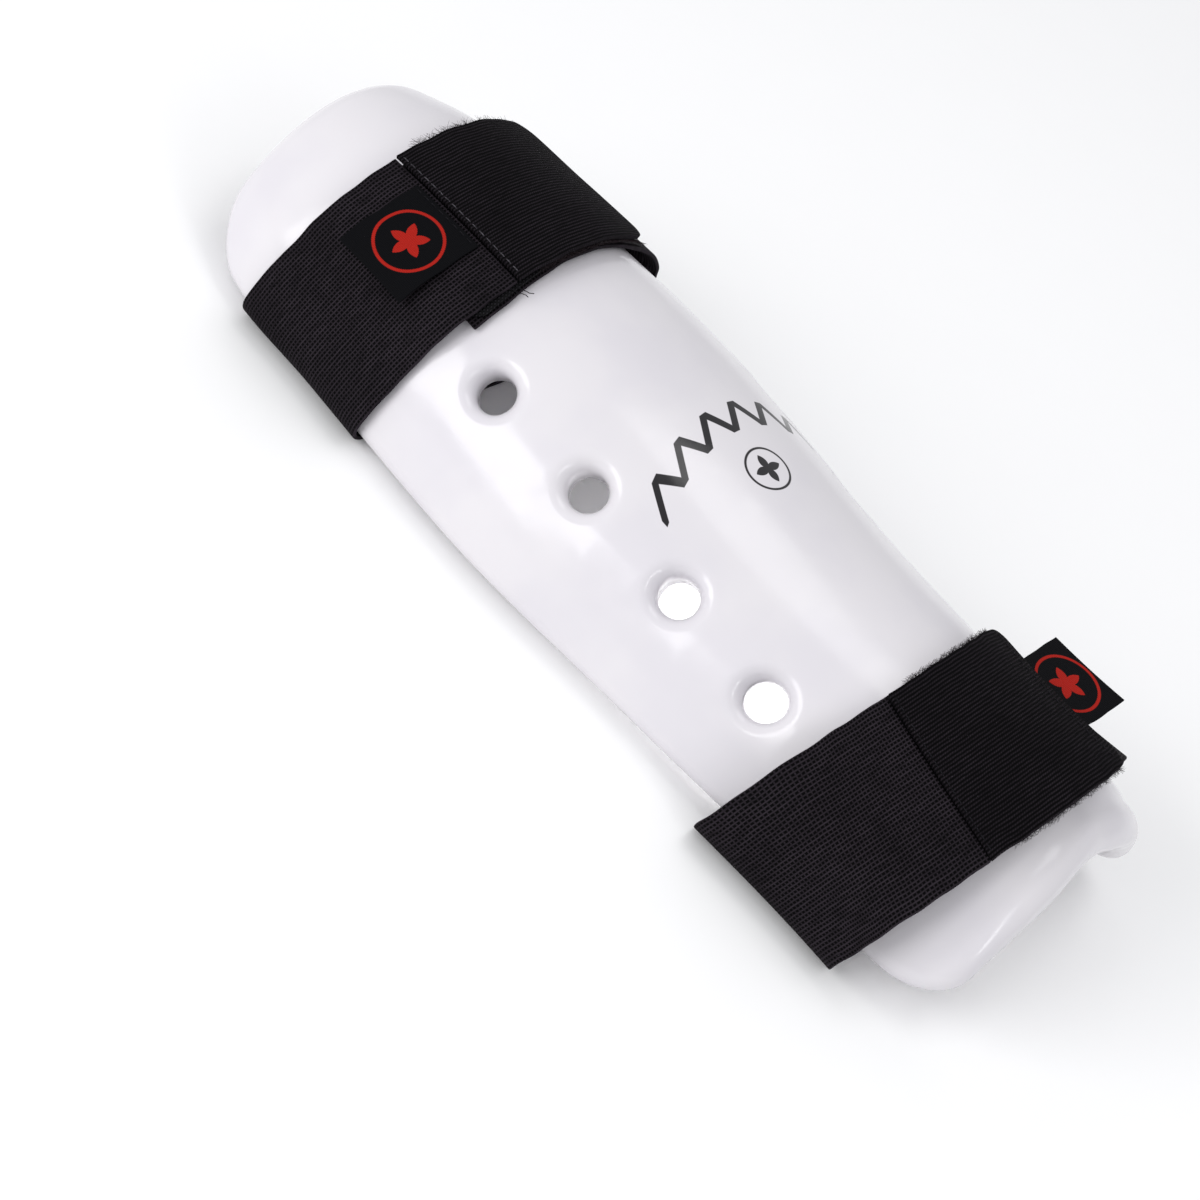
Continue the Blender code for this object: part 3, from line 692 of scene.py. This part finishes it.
class Skin:
    """Points, pattern places and faces of the closed shell while it is built."""

    def __init__(self):
        self.points = []
        self.pattern = []
        self.faces = []

    def add(self, x, s, lift, outer):
        """Adds the point over an unrolled place. Outer is 1 on the outer face, 0 on the inner."""
        self.points.append(shell_point(x, math.degrees(s / UNROLLED), lift + outer * skin_lift(x, s)))
        self.pattern.append((x, s, outer))
        return len(self.points) - 1

    def bridge(self, first, second):
        """Faces between two closed rings of points."""
        count = len(first)
        for k in range(count):
            after = (k + 1) % count
            self.faces.append((first[k], first[after], second[after], second[k]))


def block_border(low_i, low_j, wide, high):
    """Grid places round a block of cells, in order, each once."""
    border = [(low_i + k, low_j) for k in range(wide)]
    border += [(low_i + wide, low_j + k) for k in range(high)]
    border += [(low_i + wide - k, low_j + high) for k in range(wide)]
    border += [(low_i, low_j + high - k) for k in range(high)]
    return border


def nearest_grid_place(x, s):
    """Grid indices of the point closest to an unrolled place."""
    middle = range(CELLS_CORNER, CELLS_ACROSS - CELLS_CORNER)
    places = [(i, j) for i in range(CELLS_LONG) for j in middle]
    return min(places, key=lambda ij: math.dist(GRID[ij], (x, s)))


def vent_rows():
    """(radius, lift) down a vent, from its mouth's rim to the inner face."""
    rows = []
    for k in range(VENT_FILLET_RINGS + 1):
        turn = math.pi / 2 * k / VENT_FILLET_RINGS
        radius = VENT_BORE + (VENT_MOUTH - VENT_BORE) * (1 - math.sin(turn))
        rows.append((radius, -VENT_FILLET_DEPTH * (1 - math.cos(turn))))
    for k in range(1, VENT_BACK_RINGS + 1):
        turn = math.pi / 2 * k / VENT_BACK_RINGS
        radius = VENT_BORE + VENT_BACK_FILLET * (1 - math.cos(turn))
        rows.append((radius, -WALL + VENT_BACK_FILLET * (1 - math.sin(turn))))
    return rows


def add_vent(skin, sheets, x, angle):
    """Rolled-in vent: rings from the outer sheet's block, down the bore, to the inner sheet's."""
    s = math.radians(angle) * UNROLLED
    low_i, low_j = (index - VENT_HALF_BLOCK for index in nearest_grid_place(x, s))
    size = 2 * VENT_HALF_BLOCK
    border = block_border(low_i, low_j, size, size)
    # radius that the shell is bent to here, from the chord over one degree
    bent = (shell_point(x, angle + 0.5, 0) - shell_point(x, angle - 0.5, 0)).length / math.radians(1)
    turns = [math.atan2((GRID[ij][1] - s) * bent / UNROLLED, GRID[ij][0] - x) for ij in border]
    last = [sheets[0][ij] for ij in border]
    for number, (radius, lift) in enumerate(vent_rows()):
        outer = max(0.0, 1 - number / VENT_FILLET_RINGS)
        scale = UNROLLED / (bent + lift)
        ring = [
            skin.add(x + radius * math.cos(turn), s + radius * math.sin(turn) * scale, lift, outer)
            for turn in turns
        ]
        skin.bridge(last, ring)
        last = ring
    skin.bridge(last, [sheets[1][ij] for ij in border])
    return {(low_i + a, low_j + b) for a in range(size) for b in range(size)}


GRID = {
    (i, j): grid_place(i, j, RIM) for i in range(CELLS_LONG + 1) for j in range(CELLS_ACROSS + 1)
}


def rim_place(i, j, inset):
    """Place of the rim at a grid point of the perimeter, for a ring with this inset."""
    if i in (0, CELLS_LONG):
        return end_place(-1 if i == 0 else 1, j / CELLS_ACROSS, inset)
    x, s = GRID[i, j]
    return x, math.copysign(abs(s) + RIM - inset, s)


def make_shell(material):
    """The dipped shell: outer and inner faces, a full round rim, and eight rolled-in vents."""
    skin = Skin()
    sheets = []
    for lift, outer in ((0.0, 1.0), (-WALL, 0.0)):
        sheets.append({ij: skin.add(*GRID[ij], lift, outer) for ij in GRID})
    cut = set()
    for x, angle in VENTS:
        for side in (-1, 1):
            cut |= add_vent(skin, sheets, x, side * angle)
    for sheet, turned in zip(sheets, (False, True)):
        for i in range(CELLS_LONG):
            for j in range(CELLS_ACROSS):
                if (i, j) not in cut:
                    face = [sheet[i, j], sheet[i + 1, j], sheet[i + 1, j + 1], sheet[i, j + 1]]
                    skin.faces.append(tuple(reversed(face)) if turned else tuple(face))
    edge = block_border(0, 0, CELLS_LONG, CELLS_ACROSS)
    last = [sheets[0][ij] for ij in edge]
    for k in range(1, RIM_RINGS):
        turn = math.pi / 2 - math.pi * k / RIM_RINGS
        inset = RIM * (1 - math.cos(turn))
        lift = -RIM + RIM * math.sin(turn)
        outer = max(0.0, math.sin(turn)) ** 2
        ring = [skin.add(*rim_place(i, j, inset), lift, outer) for i, j in edge]
        skin.bridge(ring, last)
        last = ring
    skin.bridge([sheets[1][ij] for ij in edge], last)
    used = sorted({index for face in skin.faces for index in face})
    renumbered = {old: new for new, old in enumerate(used)}
    piece = mesh_object(
        "dipped_shell",
        [skin.points[index] for index in used],
        [tuple(renumbered[index] for index in face) for face in skin.faces],
        [skin.pattern[index] for index in used],
        material,
    )
    settle(piece, "guard", "vinyl", "vinyl_coat")


# ---- ribbons

STEP_ANGLE = 1.6
CORNER_STEPS = 16
STEPS_ACROSS = 26
ROUTE_SMOOTHING = 6
EDGE_WAVE = 0.45 * MM
EDGE_WAVES = 130.0
FAR_EDGE_SEED = 9.0
ELASTIC_ROUNDING = 0.42 * MM
TAPE_ROUNDING = 0.25 * MM
ROUNDED_FROM = 60.0
FLAT_STEP = 2.0 * MM
TIP_TURNS = 9
# Width, thickness and rounding of each layer
LAYERS = {
    "elastic": (STRAP_WIDTH, ELASTIC, ELASTIC_ROUNDING),
    "loop": (STRAP_WIDTH - MM, TAPE, TAPE_ROUNDING),
    "hook": (STRAP_WIDTH - 2 * MM, TAPE, TAPE_ROUNDING),
}


def even_steps(start, finish, longest):
    """Values from start to finish, both included, no further apart than the longest step."""
    steps = math.ceil(abs(finish - start) / longest)
    return [start + (finish - start) * step / steps for step in range(steps + 1)]


def smoothed(rows, passes):
    """Rows of points, each moved towards its neighbours along the run. The ends stay."""
    for _ in range(passes):
        inner = [
            [(before + 2 * point + after) / 4 for before, point, after in zip(*near)]
            for near in zip(rows, rows[1:], rows[2:])
        ]
        rows = [rows[0], *inner, rows[-1]]
    return rows


def row_lengths(rows):
    """Distance along the run to each row, down its middle."""
    middle = len(rows[0]) // 2
    lengths = [0.0]
    for before, after in zip(rows, rows[1:]):
        lengths.append(lengths[-1] + (after[middle] - before[middle]).length)
    return lengths


def wavy_row(row, length):
    """The row with each of its ends drawn in or out a little, as the selvedges wander."""
    outwards = (row[-1] - row[0]).normalized()
    low, high = (
        noise.noise(Vector((length * EDGE_WAVES, seed, row[0].x * 10))) for seed in (0.0, FAR_EDGE_SEED)
    )
    last = len(row) - 1
    return [
        point + outwards * EDGE_WAVE * (high * (k / last) ** 4 - low * (1 - k / last) ** 4)
        for k, point in enumerate(row)
    ]


def ribbon(name, rows, widths, thickness, rounding, material, stretched=0.0):
    """Closed ribbon through rows of points, with rounded edges. Stretched is 1 for open knit."""
    count = len(rows[0])
    lengths = row_lengths(rows)
    points = [point for row, length in zip(rows, lengths) for point in wavy_row(row, length)]
    pattern = []
    for length, width in zip(lengths, widths):
        pattern += [(length, (k / (count - 1) - 0.5) * width, stretched) for k in range(count)]
    faces = []
    for number in range(len(rows) - 1):
        for k in range(count - 1):
            first = number * count + k
            faces.append((first, first + 1, first + 1 + count, first + count))
    piece = mesh_object(name, points, faces, pattern, material)
    solid = piece.modifiers.new("thickness", "SOLIDIFY")
    solid.thickness = thickness
    solid.offset = 0.0
    solid.use_even_offset = True
    rounded = piece.modifiers.new("rounded", "BEVEL")
    rounded.width = rounding
    rounded.segments = 3
    rounded.limit_method = "ANGLE"
    rounded.angle_limit = math.radians(ROUNDED_FROM)
    apply_modifiers(piece)
    piece.data.shade_smooth()
    return piece


def places_across(width):
    """Places across a ribbon of this width, from its middle line."""
    return [(k / (STEPS_ACROSS - 1) - 0.5) * width for k in range(STEPS_ACROSS)]


def band_rows(strap):
    """Rows of the strap from its under tip, round the arm side, to its flap's seam."""
    places = places_across(STRAP_WIDTH)
    rows = []
    turns = [90.0 * (step + 1) / CORNER_STEPS for step in range(CORNER_STEPS)]
    for angle in even_steps(strap.under_tip, EDGE_ANGLE, STEP_ANGLE):
        rows.append([strap_point(strap, angle, across, UNDER_LIFT, UNDER_SIDE) for across in places])
    for turn in turns:
        rows.append([corner_point(strap, turn, 1, across, UNDER_SIDE) for across in places])
    far, near = (
        [corner_point(strap, 90.0, sign, across, side) for across in places]
        for sign, side in ((1, UNDER_SIDE), (-1, BAND_SIDE))
    )
    steps = math.ceil((far[0] - near[0]).length / FLAT_STEP)
    for step in range(1, steps):
        rows.append([a.lerp(b, step / steps) for a, b in zip(far, near)])
    for turn in reversed(turns):
        rows.append([corner_point(strap, turn, -1, across, BAND_SIDE) for across in places])
    for angle in even_steps(-EDGE_ANGLE, strap.root, STEP_ANGLE):
        lift = band_lift(strap, angle)
        rows.append([strap_point(strap, angle, across, lift, BAND_SIDE) for across in places])
    return smoothed(rows, ROUTE_SMOOTHING)


def make_band(strap, material):
    """The strap's elastic."""
    rows = band_rows(strap)
    piece = ribbon(f"{strap.name}_band", rows, [STRAP_WIDTH] * len(rows), ELASTIC, ELASTIC_ROUNDING,
                   material, stretched=1.0)
    settle(piece, f"{strap.name}_strap", "elastic", f"{strap.name}_strap")


def tip_width(distance):
    """Width left at a distance from a tip with rounded corners."""
    reach = max(0.0, 1.0 - distance / TIP_RADIUS)
    return STRAP_WIDTH - 2 * TIP_RADIUS * (1.0 - math.sqrt(1.0 - reach**2))


def make_layer(strap, name, kind, root, tip, lift, side, materials):
    """One layer of cloth or tape, from its straight root to a tip with rounded corners."""
    width, thickness, rounding = LAYERS[kind]
    corner = math.copysign(math.degrees(TIP_RADIUS / SECTIONS[1][1]), tip - root)
    steps = [(angle, width) for angle in even_steps(root, tip - corner, STEP_ANGLE)]
    for turn in range(1, TIP_TURNS + 1):
        reach = 1 - math.sin(math.pi / 2 * turn / TIP_TURNS)
        steps.append((tip - corner * reach, min(width, tip_width(TIP_RADIUS * reach))))
    rows = [
        [strap_point(strap, angle, across, lift, side) for across in places_across(local)]
        for angle, local in steps
    ]
    widths = [local for _, local in steps]
    return ribbon(f"{strap.name}_{name}", rows, widths, thickness, rounding, materials[kind])


def bend_with_flap(strap, piece, node, slot):
    """Sewn to the strap at the seam; kept where it lies, on no body."""
    hinge = next(joint for joint in frame["joints"] if joint["name"] == f"{strap.name}_flap_hinge")
    point, axis = Vector(hinge["pos_m"]), Vector(hinge["axis"])
    onwards = Vector((0, 1, 0))
    onwards = (onwards - axis * onwards.dot(axis)).normalized()
    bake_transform(piece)
    settle(piece, None, slot, f"{strap.name}_{node}")


def make_flap(strap, tape, materials):
    """The closing flap's elastic, and the tape sewn under it."""
    elastic = make_layer(strap, "closing_flap", "elastic", strap.root + SEAM_INSET, strap.flap_tip,
                         FLAP_LIFT, strap.flap_side, materials)
    bend_with_flap(strap, elastic, "flap", "elastic")
    under = make_layer(strap, f"{tape}_tape", tape, strap.root + 2 * TAPE_INSET,
                       strap.flap_tip - TAPE_INSET, UPPER_TAPE_LIFT, strap.flap_side, materials)
    bend_with_flap(strap, under, f"{tape}_pad", f"{tape}_tape")


def make_under_tape(strap, tape, materials):
    """The tape on the strap's under end, facing out."""
    piece = make_layer(strap, f"{tape}_tape", tape, strap.under_tape_end, strap.under_tip + TAPE_INSET,
                       UNDER_TAPE_LIFT, UNDER_SIDE, materials)
    settle(piece, f"{strap.name}_strap", f"{tape}_tape", f"{strap.name}_{tape}_pad")


# ---- labels and stitches

LABEL_CELLS = 30
LABEL_CURL = 1.6
LABEL_ROUNDING = LABEL / 3
THREAD_RADIUS = 0.17 * MM
STITCH = 2.1 * MM
STITCH_GAP = 0.7 * MM
STITCH_POINTS = 6
# A stitch's height and its ends' depth, in thread radii, and their share of its thickness
STITCH_HEIGHT = 1.4
STITCH_DEPTH = 0.9
STITCH_END = 0.75
LABEL_STITCH_WIDTH = LABEL_WIDTH - 2 * MM
FLAP_STITCH_WIDTH = STRAP_WIDTH - 3 * MM
TAPE_STITCH_WIDTH = STRAP_WIDTH - 4 * MM
TIP_STITCH_WIDTH = STRAP_WIDTH - 5 * MM


def make_label(strap, root, lift, side, material):
    """Woven label sewn along one edge, its free edge standing off the strap."""
    places = [(c / LABEL_CELLS - 0.5) * LABEL_WIDTH + strap.label_shift for c in range(LABEL_CELLS + 1)]
    rows = []
    for k in range(LABEL_CELLS + 1):
        along = k / LABEL_CELLS
        angle = root + strap.label_sweep * along
        rise = lift + strap.label_rise * along**LABEL_CURL
        rows.append([strap_point(strap, angle, across, rise, side) for across in places])
    piece = ribbon(f"{strap.name}_woven_label", rows, [LABEL_WIDTH] * len(rows), LABEL, LABEL_ROUNDING,
                   material)
    kept = piece.data.attributes["pattern"].data
    reach = max(value.vector.x for value in kept)
    for value in kept:
        value.vector.x -= reach / 2
    settle(piece, f"{strap.name}_strap", "label", f"{strap.name}_label")


def thread_curve(name, radius, material, resolution=1):
    curve = bpy.data.curves.new(name, "CURVE")
    curve.dimensions = "3D"
    curve.bevel_depth = radius
    curve.bevel_resolution = resolution
    curve.use_fill_caps = True
    curve.materials.append(material)
    return curve


def curve_object(curve):
    return link(bpy.data.objects.new(curve.name, curve))


def add_line(curve, points, radii=None):
    spline = curve.splines.new("POLY")
    spline.points.add(len(points) - 1)
    for number, (point, place) in enumerate(zip(spline.points, points)):
        point.co = (*place, 1.0)
        if radii:
            point.radius = radii[number]


def make_stitches(strap, name, angle, lift, side, length, material, body, node=None, shift=0.0):
    """A run of short stitches across a strap, at an angle round the shell."""
    curve = thread_curve(f"{strap.name}_{name}_stitches", THREAD_RADIUS, material)
    count = round(length / (STITCH + STITCH_GAP))
    for number in range(count):
        start = number * length / count - length / 2
        points = []
        radii = []
        for k in range(STITCH_POINTS):
            t = k / (STITCH_POINTS - 1)
            rise = math.sin(math.pi * t) ** 0.5
            off = lift + THREAD_RADIUS * (STITCH_HEIGHT * rise - STITCH_DEPTH)
            points.append(strap_point(strap, angle, start + STITCH * t + shift, off, side))
            radii.append(STITCH_END + (1 - STITCH_END) * rise)
        add_line(curve, points, radii)
    nodes = [f"{strap.name}_{node}_stitching"] if node else []
    settle(curve_object(curve), f"{strap.name}_{body}", "thread", *nodes)


# ---- fuzz and loose threads

FIBRE_RADIUS = 0.055 * MM
FIBRE_TAPER = (1.0, 1.0, 0.8, 0.45)
FIBRES_PER_MM = 9.0
FIBRE_ROOT = 0.8 * MM
FIBRE_SWAY = 3.2
FIBRE_CURL = 0.4
TUFT_SCALE = 0.25
LOOSE_POINTS = 8
LOOSE_REACH = 5.5 * MM
LOOSE_SWEEP = 3.0


def make_fuzz(strap, lengths, end, lift, side, body, material, seed):
    """Fibres teased out of a loop tape's two edges, thickest in tufts, from the seam to its end."""
    start, end = strap.root + FUZZ_INSET, end - TAPE_INSET
    run = math.radians(abs(end - start)) * SECTIONS[1][1]
    for number, (edge, longest) in enumerate(zip((-1, 1), lengths)):
        rng = random.Random(seed + number)
        curve = thread_curve(f"{strap.name}_fuzz_{number + 1}", FIBRE_RADIUS, material, resolution=0)
        for _ in range(round(run / MM * FIBRES_PER_MM)):
            angle = rng.uniform(start, end)
            tuft = 0.5 + 0.5 * noise.noise(Vector((angle * TUFT_SCALE, seed + number, 0)))
            reach = rng.uniform(0.25, 1.0) * (0.35 + 0.65 * tuft) * longest
            sway = rng.uniform(-FIBRE_SWAY, FIBRE_SWAY)
            rise = rng.uniform(-0.35, 0.65) * reach
            points = []
            for bend in range(len(FIBRE_TAPER)):
                t = bend / (len(FIBRE_TAPER) - 1)
                turned = angle + (sway * t * t + rng.uniform(-FIBRE_CURL, FIBRE_CURL) * t)
                across = edge * (STRAP_WIDTH / 2 - FIBRE_ROOT + (reach + FIBRE_ROOT) * t)
                points.append(strap_point(strap, turned, across, lift + rise * t * t, side))
            add_line(curve, points, FIBRE_TAPER)
        settle(curve_object(curve), f"{strap.name}_{body}", "loop_tape")


def make_loose_threads(strap, starts, body, material, seed):
    """Thread ends left hanging at a seam. Each start is an angle, a place across and a lift."""
    rng = random.Random(seed)
    curve = thread_curve(f"{strap.name}_loose_threads", THREAD_RADIUS * 0.7, material)
    for angle, across, lift in starts:
        points = []
        for bend in range(LOOSE_POINTS):
            t = bend / (LOOSE_POINTS - 1)
            turned = angle + LOOSE_SWEEP * t * t + rng.uniform(-0.5, 0.5) * t
            drop = lift * (1 - 0.5 * t)
            points.append(strap_point(strap, turned, across + LOOSE_REACH * t, drop, BAND_SIDE))
        add_line(curve, points)
    settle(curve_object(curve), f"{strap.name}_{body}", "thread")


# ---- camera, light and floor

CAMERA_AZIMUTH = 17.81
CAMERA_ELEVATION = 38.57
CAMERA_ROLL = 35.38
CAMERA_PLACE = Vector((0.1962, -0.6200, 0.4982))
CAMERA_LENS = 88.7
SENSOR = 36.0
WORLD_COLOUR = (0.97, 0.975, 1.0, 1.0)
WORLD_STRENGTH = 0.68
FLOOR_REACH = 3.0
FLOOR_GAP = 0.2 * MM


def make_camera():
    """The photo's view: the guard lies turned in the frame, so the camera is rolled."""
    azimuth = math.radians(CAMERA_AZIMUTH)
    elevation = math.radians(CAMERA_ELEVATION)
    back = Vector((
        math.sin(azimuth) * math.cos(elevation),
        -math.cos(azimuth) * math.cos(elevation),
        math.sin(elevation),
    ))
    data = bpy.data.cameras.new("camera")
    data.lens = CAMERA_LENS
    data.sensor_width = SENSOR
    data.clip_start = 0.01
    data.clip_end = 20.0
    camera = link(bpy.data.objects.new("camera", data))
    turned = (-back).to_track_quat("-Z", "Y").to_matrix().to_4x4()
    roll = Matrix.Rotation(math.radians(CAMERA_ROLL), 4, "Z")
    camera.matrix_world = Matrix.Translation(CAMERA_PLACE) @ turned @ roll
    bpy.context.scene.camera = camera


def make_light(name, place, size, power, turned=True):
    """Area light, turned to face the middle of the guard or left facing straight down."""
    data = bpy.data.lights.new(name, "AREA")
    data.shape = "RECTANGLE"
    data.size, data.size_y = size
    data.energy = power
    light = link(bpy.data.objects.new(name, data))
    light.location = place
    if turned:
        light.rotation_mode = "QUATERNION"
        light.rotation_quaternion = (-Vector(place)).to_track_quat("-Z", "Y")


def make_studio():
    """White surroundings, a floor and soft lights, one of them inside the channel."""
    world = bpy.data.worlds.new("studio")
    bpy.context.scene.world = world
    world.use_nodes = True
    background = world.node_tree.nodes["Background"]
    background.inputs["Color"].default_value = WORLD_COLOUR
    background.inputs["Strength"].default_value = WORLD_STRENGTH
    make_light("key", (-0.62, -1.12, 0.60), (1.00, 0.80), 10.4)
    make_light("top", (0.10, 0.30, 1.20), (0.60, 0.60), 2.6)
    make_light("strip", (0.95, -0.35, 0.75), (0.10, 0.70), 1.4)
    make_light("channel", (0.055, 0.0, 0.026), (0.07, 0.05), 0.035, turned=False)
    bpy.context.scene.view_settings.view_transform = "Standard"

    signs = ((-1, -1), (1, -1), (1, 1), (-1, 1))
    corners = [(FLOOR_REACH * x, FLOOR_REACH * y, 0) for x, y in signs]
    floor = mesh_object("floor", corners, [(0, 1, 2, 3)], [(0, 0, 0)] * 4, floor_material())
    floor.location.z = CAD_BOX[0].z - FLOOR_GAP


# ---- assembly

# Angles from the seam to the elbow label, and from the under tape to the wrist label
ELBOW_LABEL_OFFSET = 1.6
WRIST_LABEL_OFFSET = 1.0
# Angles from each piece's end to its stitches or its fuzz
LABEL_STITCH_INSET = 1.0
TAPE_STITCH_INSET = 2.0
FLAP_STITCH_INSET = 1.2
TIP_STITCH_INSET = 4.5
FUZZ_INSET = 8.0
# Longest fibres at a tape's two edges
ELBOW_FUZZ = (4.2 * MM, 1.9 * MM)
WRIST_FUZZ = (2.2 * MM, 2.2 * MM)
ELBOW_FUZZ_SEED = 3
WRIST_FUZZ_SEED = 17
LOOSE_SEED = 11
LOOSE_ANGLES = (-1.0, -2.5)
FLAP_TOP_LIFT = FLAP_LIFT + ELASTIC / 2
UNDER_TAPE_TOP_LIFT = UNDER_TAPE_LIFT + TAPE / 2
WRIST_LABEL_STITCH_LIFT = 0.15 * MM


def make_elbow_strap(materials):
    strap = ELBOW
    thread = materials["thread"]
    label_root = strap.root - ELBOW_LABEL_OFFSET
    label_lift = BAND_TOP_LIFT + ELASTIC / 2 + GAP + LABEL / 2
    make_band(strap, materials["elastic"])
    make_under_tape(strap, "hook", materials)
    make_flap(strap, "loop", materials)
    make_label(strap, label_root, label_lift, BAND_SIDE, materials["label"])
    make_stitches(strap, "label", label_root - LABEL_STITCH_INSET, label_lift + LABEL / 2, BAND_SIDE,
                  LABEL_STITCH_WIDTH, thread, "strap", "label", strap.label_shift)
    make_stitches(strap, "seam", strap.root + FLAP_STITCH_INSET, FLAP_TOP_LIFT, BAND_SIDE,
                  FLAP_STITCH_WIDTH, materials["grey_thread"], "flap", "loop")
    make_fuzz(strap, ELBOW_FUZZ, strap.flap_tip, UPPER_TAPE_LIFT, BAND_SIDE, "flap",
              materials["fuzz"], ELBOW_FUZZ_SEED)
    starts = [(strap.root + angle, STRAP_WIDTH / 2 - MM, BAND_TOP_LIFT) for angle in LOOSE_ANGLES]
    make_loose_threads(strap, starts, "strap", thread, LOOSE_SEED)
    make_stitches(strap, "hook", strap.under_tape_end - TAPE_STITCH_INSET, UNDER_TAPE_TOP_LIFT,
                  UNDER_SIDE, TAPE_STITCH_WIDTH, thread, "strap", "hook")


def make_wrist_strap(materials):
    strap = WRIST
    thread = materials["thread"]
    label_root = strap.under_tape_end + WRIST_LABEL_OFFSET
    label_lift = UNDER_LIFT + ELASTIC / 2 + GAP + LABEL / 2
    make_band(strap, materials["elastic"])
    make_under_tape(strap, "loop", materials)
    make_flap(strap, "hook", materials)
    make_label(strap, label_root, label_lift, UNDER_SIDE, materials["label"])
    make_stitches(strap, "label", label_root + LABEL_STITCH_INSET,
                  label_lift + LABEL / 2 + WRIST_LABEL_STITCH_LIFT, UNDER_SIDE,
                  LABEL_STITCH_WIDTH, thread, "strap", "label", strap.label_shift)
    make_stitches(strap, "loop", strap.under_tape_end - TAPE_STITCH_INSET, UNDER_TAPE_TOP_LIFT,
                  UNDER_SIDE, TAPE_STITCH_WIDTH, thread, "strap", "loop")
    make_stitches(strap, "seam", strap.root + FLAP_STITCH_INSET, FLAP_TOP_LIFT, UNDER_SIDE,
                  FLAP_STITCH_WIDTH, thread, "flap", "hook")
    make_stitches(strap, "tip", strap.flap_tip - TIP_STITCH_INSET, FLAP_TOP_LIFT, UNDER_SIDE,
                  TIP_STITCH_WIDTH, thread, "flap")
    make_fuzz(strap, WRIST_FUZZ, strap.under_tape_end, UNDER_TAPE_LIFT, UNDER_SIDE, "strap",
              materials["fuzz"], WRIST_FUZZ_SEED)


def main():
    make_camera()
    make_studio()
    materials = {
        "elastic": elastic_material(),
        "loop": loop_material(),
        "hook": hook_material(),
        "label": label_material(),
        "fuzz": thread_material("fuzz", *FUZZ_COLOURS),
        "thread": thread_material("dark_thread", *DARK_THREAD_COLOURS),
        "grey_thread": thread_material("grey_thread", *GREY_THREAD_COLOURS),
    }
    make_shell(vinyl_material())
    core = frame["nodes"]["foam_core"]
    core.data.materials.clear()
    core.data.materials.append(foam_material())
    make_elbow_strap(materials)
    make_wrist_strap(materials)


main()
